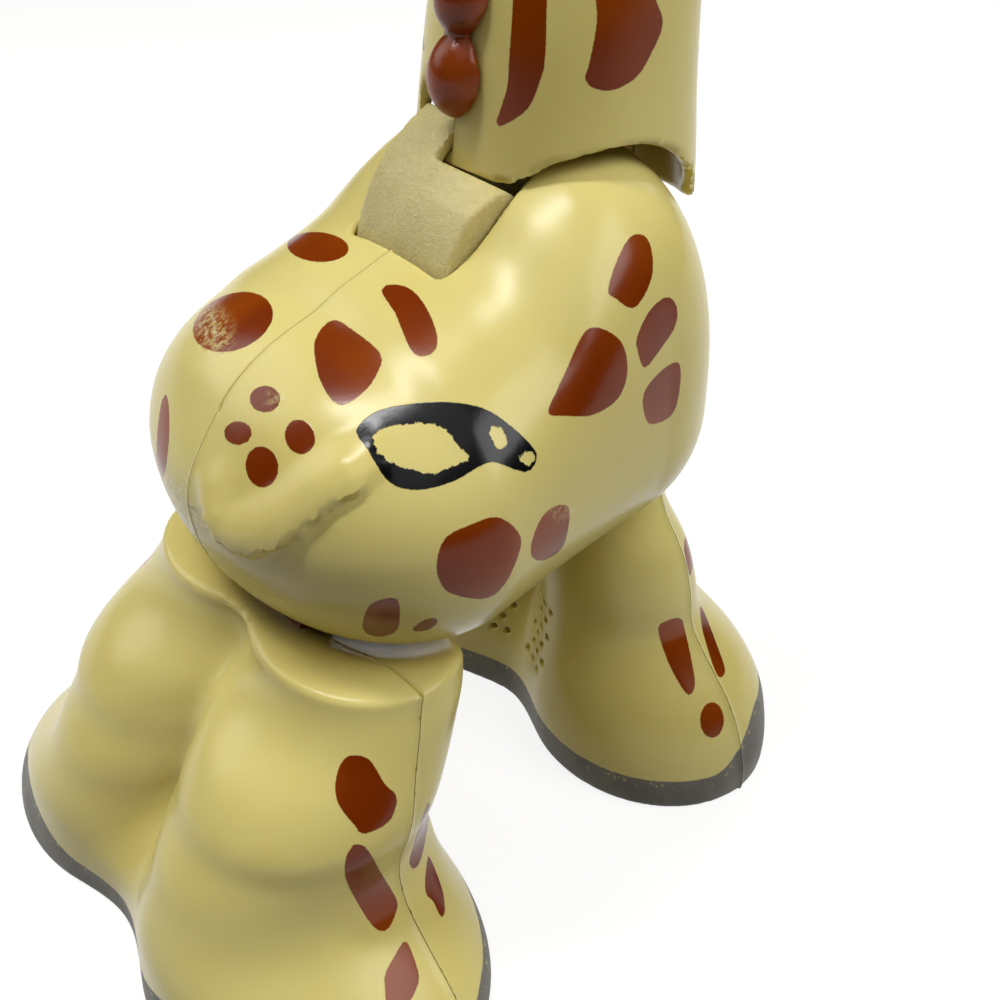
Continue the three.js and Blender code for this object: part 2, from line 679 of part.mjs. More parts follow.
function make_neck_shells() {
  const skin = neck_outside(0);
  const hollow = neck_inside(shell_wall);
  let shell = skin.subtract(hollow);
  const trim = neck_inside(shell_wall / 2);
  const bosses = neck_screw_places.flatMap(([x, z], index) => [-1, 1].map((side) => {
    const start = index === 0 ? cradle_half_width + seat_gap : 0;
    const end = neck_half_width + overrun;
    return rod('y', screw_head_radius + boss_wall, side * start, side * end, [x, 0, z], boss_sides);
  }));
  shell = shell.add(join(bosses).intersect(trim));
  const below_plane = side_plate([
    [-overrun, neck_foot_z - overrun], [skirt_front_x + 2 * overrun, neck_foot_z - overrun],
    [skirt_front_x + 2 * overrun, skirt_front_z], [skirt_front_x, skirt_front_z],
    [skirt_rear_x, skirt_rear_z], [-overrun, skirt_rear_z],
  ], -neck_half_width - overrun, neck_half_width + overrun);
  const arch = rod('y', skirt_radius, -neck_half_width - overrun, neck_half_width + overrun,
    [neck_axle_x, 0, neck_axle_z], arch_sides);
  const notch_inner = arc_radius - arc_thickness - seat_gap;
  const finger_notch = side_plate(
    finger_outline(notch_inner, arc_radius + overrun, arc_top_angle - notch_slack, step_angle + notch_tail),
    finger_low_y - seat_gap, arc_half_width + seat_gap,
  );
  const web_slot = box(
    [-overrun, -mane_web / 2 - seat_gap, mane_first_z - mane_lobe_radius / 2 - seat_gap],
    [ossicone_x - 3 * mane_lobe_radius, mane_web / 2 + seat_gap, mane_last_z + seat_gap],
  );
  const bores = neck_screw_places.flatMap(([x, z]) => [
    rod('y', screw_radius + screw_clearance, -boss_start_y, boss_end_y, [x, 0, z], bore_sides),
    rod('y', screw_head_radius + screw_clearance, boss_start_y, boss_end_y, [x, 0, z], bore_sides),
  ]);
  const sockets = [-1, 1].flatMap((side) => [
    ear_peg(side, seat_gap), ossicone_stem(side, seat_gap, head_z + head_half_height + overrun), ellipsoid(
      [eye_radius + seat_gap, eye_radius + seat_gap, eye_radius + seat_gap], eye_place(side), ...small_facets,
    ),
  ]);
  shell = cut(shell, [below_plane, arch, finger_notch, web_slot, ...bores, ...sockets]);
  add_part('neck_shell_left', shell.intersect(half_space.left(seam_gap / 2)), yellow);
  add_part('neck_shell_right', shell.intersect(half_space.right(seam_gap / 2)), yellow);
  add_parts('neck_screw', neck_screw_places.map(cross_screw), steel);
}

// The beige cradle: hub on the neck axle, block up into the neck, and the arc that closes the slot
function make_cradle() {
  const hub = rod('y', hip_hub_radius, -hub_half_width, hub_half_width, [neck_axle_x, 0, neck_axle_z], 20);
  const post = box(
    [neck_axle_x - hip_hub_radius, -cradle_half_width, neck_axle_z],
    [neck_axle_x + hip_hub_radius, cradle_half_width, cradle_top_z],
  );
  const block = box(
    [cradle_back_x, -cradle_half_width, neck_axle_z + skirt_radius + seat_gap],
    [cradle_front_x, cradle_half_width, cradle_top_z],
  );
  const inner = arc_radius - arc_thickness;
  const arc = side_plate(
    finger_outline(inner, arc_radius, step_angle, arc_bottom_angle), -arc_half_width, arc_half_width,
  );
  const finger = side_plate(
    finger_outline(inner, arc_radius, arc_top_angle, step_angle + 2), finger_low_y, arc_half_width,
  );
  const rib = side_plate(
    finger_outline(hip_hub_radius / 2, inner + arc_thickness / 2, rib_top_angle, rib_bottom_angle),
    -arc_thickness, arc_thickness,
  );
  const step = side_plate([
    polar(neck_axle_x, neck_axle_z, inner + arc_thickness / 2, step_angle + 2),
    polar(neck_axle_x, neck_axle_z, inner + arc_thickness * step_height_share, step_angle + 0.5),
    polar(neck_axle_x, neck_axle_z, skirt_radius - swing_gap, step_front_angle),
    polar(neck_axle_x, neck_axle_z, skirt_radius - 4 * swing_gap, step_front_angle),
    polar(neck_axle_x, neck_axle_z, skirt_radius - 2 * swing_gap, step_angle + 4),
  ], -arc_half_width, finger_low_y + arc_thickness);
  const hole_places = [[neck_axle_x, neck_axle_z, neck_axle_radius + axle_clearance]];
  const screw_hole = [neck_screw_places[0][0], neck_screw_places[0][1], screw_radius + screw_clearance];
  const holes = [...hole_places, screw_hole].map(([x, z, radius]) => {
    return rod('y', radius, -hub_half_width - overrun, hub_half_width + overrun, [x, 0, z], 16);
  });
  add_part('neck_cradle', cut(join([hub, post, block, arc, finger, rib, step]), holes), beige);
}

// The mane: a row of lobes up the back of the neck, trimmed to it, with a web held in the seam
const mane_lobe_count = 1 + Math.round((mane_last_z - mane_first_z) / mane_lobe_pitch);
const mane_lobe_step = (mane_last_z - mane_first_z) / (mane_lobe_count - 1);

function mane_ring(z, sides) {
  const lobe = Math.min(Math.max(Math.round((z - mane_first_z) / mane_lobe_step), 0), mane_lobe_count - 1);
  const reach = (z - mane_first_z - lobe * mane_lobe_step) / mane_lobe_half_height;
  const radius = mane_lobe_radius * Math.sqrt(1 - reach ** 2);
  return Array.from({ length: sides }, (_, k) => {
    const angle = 2 * Math.PI * k / sides;
    return new THREE.Vector3(mane_back_x(z) - radius * Math.cos(angle), radius * Math.sin(angle), z);
  });
}

function make_mane() {
  const rings = [];
  const end_reach = mane_lobe_half_height * mane_end_share;
  const low = mane_first_z - end_reach;
  const high = mane_last_z + end_reach;
  const steps = Math.round((high - low) / mane_lobe_step * mane_rings_per_lobe);
  for (let i = 0; i <= steps; i++) {
    rings.push(mane_ring(mix(low, high, i / steps), mane_sides));
  }
  const grown = neck_outside(-seat_gap);
  const skin_inside = neck_inside(shell_wall + seat_gap);
  const web = box(
    [-overrun, -mane_web / 2, mane_first_z - mane_lobe_radius / 2],
    [ossicone_x - 3 * mane_lobe_radius - seat_gap, mane_web / 2, mane_last_z],
  );
  const root = neck_outside(-shell_wall / 2);
  const web_in_wall = web.intersect(root).subtract(skin_inside);
  const clear_of_finger = side_plate(
    finger_outline(arc_radius - arc_thickness, arc_radius + seat_gap, arc_top_angle - 1, step_angle),
    finger_low_y - overrun, arc_half_width + overrun,
  );
  add_part('mane', loft(rings).subtract(grown).add(web_in_wall).subtract(clear_of_finger), mane_brown);
}

function mane_back_x(z) {
  const share = clamp((z - neck_foot_z) / neck_height);
  const neck_back = neck_foot_x + neck_lean * smooth_value(neck_shares, share, 3)
    - neck_half_depth * smooth_value(neck_shares, share, 1);
  const rise = clamp((z - (head_z - head_half_height)) / head_half_height);
  const back = Math.min(neck_back, mix(neck_back, head_back_x + head_half_height / 5, rise ** 2));
  return back + mane_lobe_radius / 6;
}

// Ears, ossicones and eyes sit on short pegs in sockets of the head
function eye_place(side) {
  return [eye_x, side * head_half_width * 0.66, eye_z];
}

function ear_peg(side, gap) {
  const inner_y = side * (head_half_width * ear_root_share - shell_wall - gap);
  const outer_y = side * (head_half_width * ear_root_share + ear_length * ear_peg_share);
  return rod('y', screw_head_radius + gap, inner_y, outer_y, [ear_x, 0, ear_z], 8);
}

function ossicone_stem(side, gap, top_z) {
  const foot_z = head_z + head_half_height * ossicone_root_share - gap;
  return rod('z', ossicone_radius + gap, foot_z, top_z, [ossicone_x, side * ossicone_y, 0], 10);
}

function make_head_trim() {
  const grown = head_solid(-seat_gap, ...head_facets);
  [['left', 1], ['right', -1]].forEach(([name, side]) => {
    const geometry = new THREE.SphereGeometry(1, 12, 6);
    geometry.scale(ear_half_thickness, ear_length / 2, ear_half_width);
    geometry.translate(0, side * ear_length / 2, 0);
    geometry.rotateX(side * radians(ear_lift));
    geometry.translate(ear_x, side * head_half_width * ear_root_share, ear_z);
    const dish_geometry = new THREE.SphereGeometry(1, 8, 4);
    dish_geometry.scale(ear_half_thickness, ear_length / 2.8, ear_half_width * 0.72);
    dish_geometry.translate(0, side * ear_length / 2, 0);
    dish_geometry.rotateX(side * radians(ear_lift));
    dish_geometry.translate(ear_x + ear_half_thickness, side * head_half_width * ear_root_share, ear_z);
    const leaf = solid_of(geometry).subtract(solid_of(dish_geometry)).subtract(grown);
    add_part('ear_' + name, leaf.add(ear_peg(side, 0)), yellow);
    const top_z = head_z + head_half_height + ossicone_height;
    const knob = ellipsoid(
      [ossicone_knob_radius, ossicone_knob_radius, ossicone_knob_radius],
      [ossicone_x, side * ossicone_y, top_z - ossicone_knob_radius], 10, 6,
    );
    add_part('ossicone_' + name, ossicone_stem(side, 0, top_z - ossicone_knob_radius).add(knob), mane_brown);
    const eye = ellipsoid([eye_radius, eye_radius, eye_radius], eye_place(side), ...small_facets);
    add_part('eye_' + name, eye, eye_black);
  });
}

// A leg unit's ring at a height share: two lobes, with a deeper groove on the back than the front
function leg_ring(unit, share, inset, around) {
  const back = mix(unit.back_x, unit.front_x, smooth_value(unit.shares, share, 1)) + inset;
  const front = mix(unit.front_x, unit.back_x, smooth_value(unit.shares, share, 2)) - inset;
  const half_width = unit.half_width * smooth_value(unit.shares, share, 3) - inset;
  const lobe_share = smooth_value(unit.shares, share, 4);
  const middle = (back + front) / 2;
  const half_depth = (front - back) / 2;
  return Array.from({ length: around }, (_, k) => {
    const angle = 2 * Math.PI * (k + 0.5) / around;
    const forward = (1 + Math.cos(angle)) / 2;
    const ratio = mix(lobe_share, lobe_share * front_groove_ease, forward);
    const lobe_half_width = half_width / (1 + ratio);
    const offset = half_width - lobe_half_width;
    const ray = [half_depth * Math.cos(angle), half_width * Math.sin(angle)];
    const reach = [-1, 1].map((side) => {
      const a = (ray[0] / half_depth) ** 2 + (ray[1] / lobe_half_width) ** 2;
      const b = -2 * ray[1] * side * offset / lobe_half_width ** 2;
      const c = (offset / lobe_half_width) ** 2 - 1;
      return (-b + Math.sqrt(Math.max(b * b - 4 * a * c, 0))) / (2 * a);
    });
    const length = (reach[0] ** groove_power + reach[1] ** groove_power) ** (1 / groove_power);
    return new THREE.Vector3(middle + ray[0] * length, ray[1] * length, unit.height * share);
  });
}

function leg_solid(unit, inset, around, along, low_share = 0, high_share = 1) {
  return loft(Array.from({ length: along + 1 }, (_, i) => {
    return leg_ring(unit, mix(low_share, high_share, i / along), inset, around);
  }));
}

const rear_unit = {
  back_x: rear_sole_back_x, front_x: rear_sole_front_x, half_width: rear_sole_half_width,
  height: rear_unit_height, shares: rear_leg_shares,
  seam_foot_x: rear_seam_foot_x, seam_top_x: rear_seam_top_x, seam_knee_share: rear_seam_knee_share,
};
const front_unit = {
  back_x: front_sole_back_x, front_x: front_sole_front_x, half_width: front_sole_half_width,
  height: front_unit_height, shares: front_leg_shares,
  seam_foot_x: front_seam_foot_x, seam_top_x: front_seam_top_x, seam_knee_share: front_seam_knee_share,
};
const rear_seam_x = (rear_seam_foot_x + rear_seam_top_x) / 2;
const front_seam_x = (front_seam_foot_x + front_seam_top_x) / 2;

const leg_wall = 3;

// The hollow of one leg, with the groove's wall left standing between the two
function leg_hollow(unit, side, inset, around, along) {
  return loft(Array.from({ length: along + 1 }, (_, i) => {
    const share = mix(-0.05, 0.99, i / along);
    const back = mix(unit.back_x, unit.front_x, smooth_value(unit.shares, share, 1)) + inset;
    const front = mix(unit.front_x, unit.back_x, smooth_value(unit.shares, share, 2)) - inset;
    const half_width = unit.half_width * smooth_value(unit.shares, share, 3);
    const lobe_half_width = half_width / (1 + smooth_value(unit.shares, share, 4));
    const offset = half_width - lobe_half_width;
    return Array.from({ length: around }, (_, k) => {
      const angle = 2 * Math.PI * (k + 0.5) / around;
      return new THREE.Vector3(
        (back + front) / 2 + (front - back) / 2 * Math.cos(angle),
        side * offset + (lobe_half_width - inset) * Math.sin(angle),
        unit.height * share,
      );
    });
  }));
}

function leg_shell(unit, hip) {
  const ball = saddle(hip, shell_wall, ...saddle_inner_facets);
  const hollows = [-1, 1].map((side) => leg_hollow(unit, side, leg_wall, ...leg_inner_facets));
  const sole_room = loft([-overrun, sole_thickness + seat_gap].map((z) => {
    return leg_ring(unit, 0, shell_wall, leg_facets[0]).map((p) => new THREE.Vector3(p.x, p.y, z));
  }));
  const skin = leg_solid(unit, 0, ...leg_facets).subtract(saddle(hip, 0, ...saddle_facets));
  return cut(skin, [join(hollows).subtract(ball), sole_room]);
}

// Screws that join a unit's half shells run along X through a boss in each lobe
function leg_screw_solids(places, seam_x) {
  const end = seam_x + leg_screw_front;
  return places.flatMap(([y, z]) => [-1, 1].map((side) => {
    const centre = [0, side * y, z];
    return rod('x', screw_radius, seam_x - leg_screw_back, end, centre, bore_sides)
      .add(rod('x', screw_head_radius, end - screw_head_height, end, centre, bore_sides));
  }));
}

function leg_bosses(unit, places) {
  const bosses = places.flatMap(([y, z]) => [-1, 1].map((side) => {
    return rod('x', screw_head_radius + boss_wall, unit.back_x, unit.front_x, [0, side * y, z], boss_sides);
  }));
  return join(bosses).intersect(leg_solid(unit, shell_wall / 2, ...leg_trim_facets));
}

function leg_boss_bores(places, seam_x) {
  const end = seam_x + leg_screw_front;
  const head_start = end - screw_head_height - seat_gap;
  return places.flatMap(([y, z]) => [-1, 1].flatMap((side) => {
    const centre = [0, side * y, z];
    return [
      rod('x', screw_radius + screw_clearance, seam_x - leg_screw_back - seat_gap, end, centre, bore_sides),
      rod('x', screw_head_radius + screw_clearance, head_start, seam_x + far_reach, centre, bore_sides),
    ];
  }));
}

const rear_screw_shares = [[0.48, 0.72], [0.5, 0.42]];
const front_screw_shares = [[0.51, 0.293]];
const leg_screw_back = 7;
const leg_screw_front = 4.8;
const screw_places = (unit, shares) => shares.map(([out, up]) => [unit.half_width * out, unit.height * up]);
const rear_screw_places = screw_places(rear_unit, rear_screw_shares);
const front_screw_places = screw_places(front_unit, front_screw_shares);

function make_hip_arm(name, hip) {
  const hub = rod('y', hip_hub_radius, -hip_arm_half_width, hip_arm_half_width, [hip.x, 0, hip.z], 20);
  const end = hip.saddle_radius + shell_wall + arm_reach;
  const bar = arm_bar(hip, hip_hub_radius / 2, end, hip_arm_thickness, hip_arm_half_width);
  const foot_low = hip.saddle_radius + shell_wall + seat_gap;
  const foot = arm_bar(hip, foot_low, end, hip_arm_thickness, hip_arm_half_width + arm_reach / 2);
  const bore_end = hip_arm_half_width + overrun;
  const bore = rod('y', hip_axle_radius + axle_clearance, -bore_end, bore_end, [hip.x, 0, hip.z], 16);
  add_part(name, join([hub, bar, foot]).subtract(bore), hub_brown);
}

function arm_opening(hip) {
  const thickness = hip_arm_thickness + 2 * seat_gap;
  const foot_low = hip.saddle_radius + shell_wall;
  const end = foot_low + arm_reach + seat_gap;
  return arm_bar(hip, hip.radius - swing_gap, end, thickness, hip_arm_half_width + seat_gap)
    .add(arm_bar(hip, foot_low, end, thickness, hip_arm_half_width + arm_reach / 2 + seat_gap));
}

const battery_half_length = cell_length / 2 + cell_end_room;
const battery_half_width = cell_pitch * (cell_count - 1) / 2 + cell_radius + cell_room;
const cell_z = sole_thickness + seat_gap + cell_room + cell_radius;
const cell_places = Array.from({ length: cell_count }, (_, i) => {
  return battery_x + (i - (cell_count - 1) / 2) * cell_pitch;
});
const door_screw_y = battery_half_length + tray_wall + screw_head_radius;

// The space over the cells: a row of half-round vaults on straight skirts
function vaults(wall, floor_z) {
  const radius = cell_radius + cell_room + wall;
  const half_length = battery_half_length + wall;
  const tubes = cell_places.map((x) => rod('y', radius, -half_length, half_length, [x, 0, cell_z], 20));
  return join(tubes).add(box(
    [battery_x - battery_half_width - wall, -half_length, floor_z],
    [battery_x + battery_half_width + wall, half_length, cell_z],
  )).intersect(box([-far_reach, -far_reach, floor_z], [far_reach, far_reach, far_reach]));
}

function sole_plate(unit, cutters) {
  const ring = leg_ring(unit, 0, shell_wall + seat_gap, leg_facets[0]);
  const high = ring.map((p) => new THREE.Vector3(p.x, p.y, sole_thickness));
  return cut(loft([ring, high]), cutters);
}

function make_rear_legs() {
  let shell = leg_shell(rear_unit, rear_hip).add(leg_bosses(rear_unit, rear_screw_places));
  const screw_room_radius = screw_head_radius + boss_wall;
  const screw_room = rod('z', screw_room_radius, -overrun, cell_z + seat_gap, [battery_x, door_screw_y, 0]);
  shell = cut(shell, [
    arm_opening(rear_hip), vaults(tray_wall + seat_gap, -overrun), screw_room,
    ...leg_boss_bores(rear_screw_places, rear_seam_x),
  ]);
  add_part('rear_leg_shell_back', shell.intersect(behind_seam(rear_unit, seam_gap / 2)), yellow);
  add_part('rear_leg_shell_front', shell.subtract(behind_seam(rear_unit, -seam_gap / 2)), yellow);
  add_parts('rear_leg_screw', leg_screw_solids(rear_screw_places, rear_seam_x), steel);
  make_hip_arm('rear_hip_arm', rear_hip);
  make_battery_box();
}

// A contact plate at one end of one cell or of two neighbours, with a stud that presses on each cell
function battery_contact(cells, side) {
  const face_y = side * (battery_half_length - seat_gap);
  const inner_y = face_y - side * contact_thickness;
  const plate = box(
    [cell_places[cells[0]] - contact_half_width, Math.min(face_y, inner_y), cell_z - contact_half_width],
    [
      cell_places[cells.at(-1)] + contact_half_width, Math.max(face_y, inner_y),
      cell_z + contact_half_width / 4,
    ],
  );
  const tip_y = side * (cell_length / 2 + seat_gap);
  const studs = cells.map((cell) => {
    const centre = [cell_places[cell], 0, cell_z];
    return rod('y', contact_half_width / 2, tip_y, (face_y + inner_y) / 2, centre, bore_sides);
  });
  return join([plate, ...studs]);
}

function make_battery_box() {
  const door_low = [battery_x - battery_half_width, -battery_half_length];
  const door_high = [battery_x + battery_half_width, battery_half_length + door_tongue];
  const door_hole = box([...door_low, -overrun], [...door_high, overrun]);
  const switch_hole = box(
    [switch_x - switch_length / 2 - seat_gap, switch_y - switch_width / 2 - seat_gap, -overrun],
    [
      switch_x + switch_length / 2 + switch_travel + seat_gap,
      switch_y + switch_width / 2 + seat_gap, overrun,
    ],
  );
  add_part('rear_sole_plate', sole_plate(rear_unit, [door_hole, switch_hole]), sole_grey);
  const door = box(
    [door_low[0] + seat_gap, door_low[1] + seat_gap, 0],
    [door_high[0] - seat_gap, door_high[1] - seat_gap, sole_thickness],
  );
  const screw_place = [battery_x, door_screw_y, 0];
  const pit_depth = sole_thickness / 2;
  const pit = rod('z', screw_head_radius + screw_clearance, -overrun, pit_depth, screw_place, 12);
  const hole = rod('z', screw_radius + screw_clearance, -overrun, cell_z - tray_wall, screw_place, 12);
  add_part('battery_door', cut(door, [pit, hole]), sole_grey);
  const tray_low = sole_thickness + seat_gap;
  const post = rod('z', screw_head_radius + shell_wall / 2, tray_low, cell_z, screw_place, boss_sides);
  const tray = cut(vaults(tray_wall, tray_low).add(post), [vaults(0, -overrun), hole]);
  add_part('battery_tray', tray, dark_plastic);
  const screw_head = rod('z', screw_head_radius, pit_depth / 4, pit_depth - seat_gap, screw_place, 12);
  const shank = rod('z', screw_radius, pit_depth / 2, cell_z - 2 * tray_wall, screw_place, 12);
  add_part('battery_door_screw', screw_head.add(shank), steel);
  cell_places.forEach((x, i) => {
    const side = i % 2 === 0 ? 1 : -1;
    const shoulder = cell_length / 2 - cell_radius / 5;
    const can = rod('y', cell_radius, -side * cell_length / 2, side * shoulder, [x, 0, cell_z], 20);
    const stud = rod('y', cell_radius / 3, 0, side * cell_length / 2, [x, 0, cell_z], boss_sides);
    add_part('battery_cell_' + (i + 1), can.add(stud), cell_green);
  });
  add_parts('battery_contact', [battery_contact([0], -1), battery_contact([1, 2], -1),
    battery_contact([0, 1], 1), battery_contact([2], 1)], steel);
  const knob = box(
    [switch_x - switch_length / 2, switch_y - switch_width / 2, switch_recess],
    [switch_x + switch_length / 2, switch_y + switch_width / 2, sole_thickness + seat_gap],
  );
  const flange = box(
    [switch_x - switch_length, switch_y - switch_width, sole_thickness + seat_gap],
    [switch_x + switch_length + switch_travel / 2, switch_y + switch_width, 2 * sole_thickness],
  );
  add_part('power_switch', knob.add(flange), dark_plastic);
}

// Front legs, with the sound holes in two groups beside the groove
function sound_holes() {
  const holes = [];
  for (let row = 0; row < sound_hole_rows; row++) {
    for (let column = 0; column < sound_hole_columns; column++) {
      const z = speaker_z + (row - (sound_hole_rows - 1) / 2) * sound_hole_pitch;
      const y = sound_hole_first_y + (column + (row % 2) / 2) * sound_hole_pitch;
      const start = front_sole_back_x - overrun;
      [-1, 1].forEach((side) => {
        holes.push(rod('x', sound_hole_radius, start, speaker_front_x, [0, side * y, z], sound_hole_sides));
      });
    }
  }
  return holes;
}

function make_front_legs() {
  let shell = leg_shell(front_unit, front_hip).add(leg_bosses(front_unit, front_screw_places));
  shell = cut(shell, [arm_opening(front_hip), ...leg_boss_bores(front_screw_places, front_seam_x)]);
  const speaker_room = rod('x', speaker_radius + seat_gap, speaker_front_x - seat_gap, front_sole_front_x,
    [0, 0, speaker_z], 24);
  const back = shell.intersect(behind_seam(front_unit, seam_gap / 2));
  add_part('front_leg_shell_back', cut(back, [speaker_room, ...sound_holes()]), yellow);
  add_part('front_leg_shell_front', shell.subtract(behind_seam(front_unit, -seam_gap / 2)), yellow);
  add_parts('front_leg_screw', leg_screw_solids(front_screw_places, front_seam_x), steel);
  make_hip_arm('front_hip_arm', front_hip);
  add_part('front_sole_plate', sole_plate(front_unit, []), sole_grey);
  make_speaker();
}

function make_speaker() {
  const centre = [0, 0, speaker_z];
  const rim_end = speaker_front_x + shell_wall / 2;
  const back_x = speaker_front_x + speaker_depth;
  const profile = [
    [magnet_radius - shell_wall, back_x], [magnet_radius, back_x], [speaker_radius, rim_end],
    [speaker_radius, speaker_front_x], [speaker_radius - shell_wall, speaker_front_x],
    [speaker_radius - shell_wall, rim_end], [magnet_radius - shell_wall, back_x - shell_wall / 2],
  ];
  const outline = [...profile, profile[0]].map(([r, x]) => new THREE.Vector2(r, x));
  const lathe = new THREE.LatheGeometry(outline, speaker_sides);
  lathe.rotateZ(-Math.PI / 2);
  lathe.translate(0, 0, speaker_z);
  const frame = solid_of(lathe);
  add_part('speaker_frame', frame.volume() > 0 ? frame : solid_of(lathe.scale(1, -1, 1)), steel);
  const cone_depth = speaker_depth / 2;
  const cone_profile = [
    [0, speaker_front_x + cone_depth * 0.6], [magnet_radius / 2, speaker_front_x + cone_depth * 0.85],
    [speaker_radius - shell_wall - seat_gap, speaker_front_x + seat_gap],
    [speaker_radius - shell_wall - seat_gap, speaker_front_x + 2 * seat_gap],
    [magnet_radius / 2, speaker_front_x + cone_depth + seat_gap],
    [0, speaker_front_x + cone_depth + seat_gap],
  ];
  const cone = new THREE.LatheGeometry(cone_profile.map(([r, x]) => new THREE.Vector2(r, x)), speaker_sides);
  cone.rotateZ(-Math.PI / 2);
  cone.translate(0, 0, speaker_z);
  add_part('speaker_cone', solid_of(cone), dark_plastic);
  const magnet_x = back_x + seat_gap;
  const magnet = rod('x', magnet_radius, magnet_x, magnet_x + magnet_depth, centre, hub_sides);
  add_part('speaker_magnet', magnet, steel);
}

make_torso();
make_electronics();
make_neck_shells();
make_cradle();
make_mane();
make_head_trim();
make_rear_legs();
make_front_legs();

// The origin lies under the middle of the toy's length, on the floor
toy.position.x = -(muzzle_tip_x + rear_sole_back_x) / 2;
export default toy;
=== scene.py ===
"""A battery toy figure with a long nodding neck, seen from above its right rump; lengths in millimetres."""

import json
import math

import bmesh
import bpy
import mathutils
import numpy as np
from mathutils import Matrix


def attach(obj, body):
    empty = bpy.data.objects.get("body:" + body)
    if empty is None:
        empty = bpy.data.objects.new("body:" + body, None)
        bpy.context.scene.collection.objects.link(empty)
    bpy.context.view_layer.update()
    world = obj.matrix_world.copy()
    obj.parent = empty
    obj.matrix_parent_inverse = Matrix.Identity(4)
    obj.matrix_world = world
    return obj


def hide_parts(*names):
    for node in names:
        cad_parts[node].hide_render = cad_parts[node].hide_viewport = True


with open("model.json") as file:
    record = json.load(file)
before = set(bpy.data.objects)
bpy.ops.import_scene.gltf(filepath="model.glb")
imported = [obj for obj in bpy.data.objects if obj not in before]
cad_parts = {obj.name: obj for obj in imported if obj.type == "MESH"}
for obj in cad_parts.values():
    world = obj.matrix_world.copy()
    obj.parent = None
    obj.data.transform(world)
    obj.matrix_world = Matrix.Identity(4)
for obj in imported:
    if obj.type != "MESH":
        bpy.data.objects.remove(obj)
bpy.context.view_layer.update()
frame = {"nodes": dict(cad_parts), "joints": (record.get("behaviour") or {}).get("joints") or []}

# Camera
# The toy was taken by a phone held over its right rump. The place, turn and focal length were worked
# out from the known height of the shoulders and the soles.
mm = 0.001
photo_side = 1000
focal_pixels = 1200
camera_place = np.array([-101.6, -138.84, 176.86])
camera_down = math.radians(35)
camera_turn = math.radians(50.65)
scene = bpy.context.scene
camera_data = bpy.data.cameras.new("camera")
camera_data.lens = camera_data.sensor_width * focal_pixels / photo_side
camera = bpy.data.objects.new("camera", camera_data)
scene.collection.objects.link(camera)
camera.location = camera_place * mm
camera.rotation_euler = (math.pi / 2 - camera_down, 0, camera_turn - math.pi / 2)
scene.camera = camera

view_forward = np.array([math.cos(camera_down) * math.cos(camera_turn),
                         math.cos(camera_down) * math.sin(camera_turn), -math.sin(camera_down)])
view_right = np.array([math.sin(camera_turn), -math.cos(camera_turn), 0])
view_below = np.cross(view_forward, view_right)


def cast(field, pixels):
    """The points where the camera's rays through these pixels meet a skin; NaN where they miss."""
    pixels = (np.array(pixels, float) - photo_side / 2) / focal_pixels
    rays = view_forward + pixels[:, :1] * view_right + pixels[:, 1:] * view_below
    rays /= np.linalg.norm(rays, axis=1, keepdims=True)
    nearest, farthest, care, steps, miss = 60, 400, 0.7, 160, 0.2
    reach = np.full(len(rays), float(nearest))
    for _ in range(steps):
        reach += care * field(camera_place + reach[:, None] * rays)
    points = camera_place + reach[:, None] * rays
    points[(reach > farthest) | (np.abs(field(points)) > miss)] = np.nan
    return points


# Torso shells
# Two moulded halves of pale yellow plastic, screwed together on a line along the back. An ellipsoid
# round each hip axle and raised shoulders make the form; a slot behind the neck lets the cradle through.
def joint_place(name):
    return [value / mm for joint in frame["joints"] if joint["name"] == name for value in joint["pos_m"]]


rear_hip_x, _, hip_z = joint_place("rear_legs_swing")
front_hip_x = joint_place("front_legs_swing")[0]
neck_axle_x, _, neck_axle_z = joint_place("neck_tilt")
rump_radius, rear_half_width = 28.3, 40
chest_radius, front_half_width = 26.5, 34
shoulder_rise = 43.7
belly_hollow = 1
wall = 2
swing_gap = 1
seam_gap = 0.16
ridge_height, ridge_reach = 0.13, 0.34
back_rise_shares = [
    (0, 0.4), (0.047, 0.439), (0.096, 0.499), (0.163, 0.522), (0.261, 0.547), (0.312, 0.593),
    (0.362, 0.632), (0.428, 0.684), (0.488, 0.746), (0.565, 0.883), (0.631, 0.97), (0.703, 1), (1, 1),
]
shoulder_powers = [(0, 2), (0.25, 2.1), (0.4, 2.4), (0.55, 2.9), (0.75, 2.9), (0.9, 2.6), (1, 2.2)]
slot_low, slot_high = np.array([-8.2, -11.7, 95]), np.array([29, 11.7, 150])
slot_corner, slot_edge = 1.6, 1.2
arm_swing, arm_half_depth, arm_slot_half_width = 8, 4.2, 7.7
belly_slots = ((rear_hip_x, 243, rump_radius), (front_hip_x, 286, chest_radius))
rump_x = rear_hip_x - rump_radius
chest_x = front_hip_x + chest_radius


def mix(low, high, share):
    return low + (high - low) * share


def ease(share):
    """A share between 0 and 1 with a soft start and finish."""
    share = np.clip(share, 0, 1)
    return share**2 * (3 - 2 * share)


def curve(table, places, column=1):
    """A smooth curve through a table's rows."""
    rows = np.array(table, float)
    at, values = rows[:, 0], rows[:, column]
    low = np.maximum(np.arange(len(at)) - 1, 0)
    high = np.minimum(np.arange(len(at)) + 1, len(at) - 1)
    slopes = (values[high] - values[low]) / (at[high] - at[low])
    places = np.clip(places, at[0], at[-1])
    row = np.clip(np.searchsorted(at, places, side="right") - 1, 0, len(at) - 2)
    span = at[row + 1] - at[row]
    share = (places - at[row]) / span
    rise = values[row + 1] - values[row]
    start, finish = slopes[row] * span, slopes[row + 1] * span
    return (values[row] + start * share + (3 * rise - 2 * start - finish) * share**2
            + (start + finish - 2 * rise) * share**3)


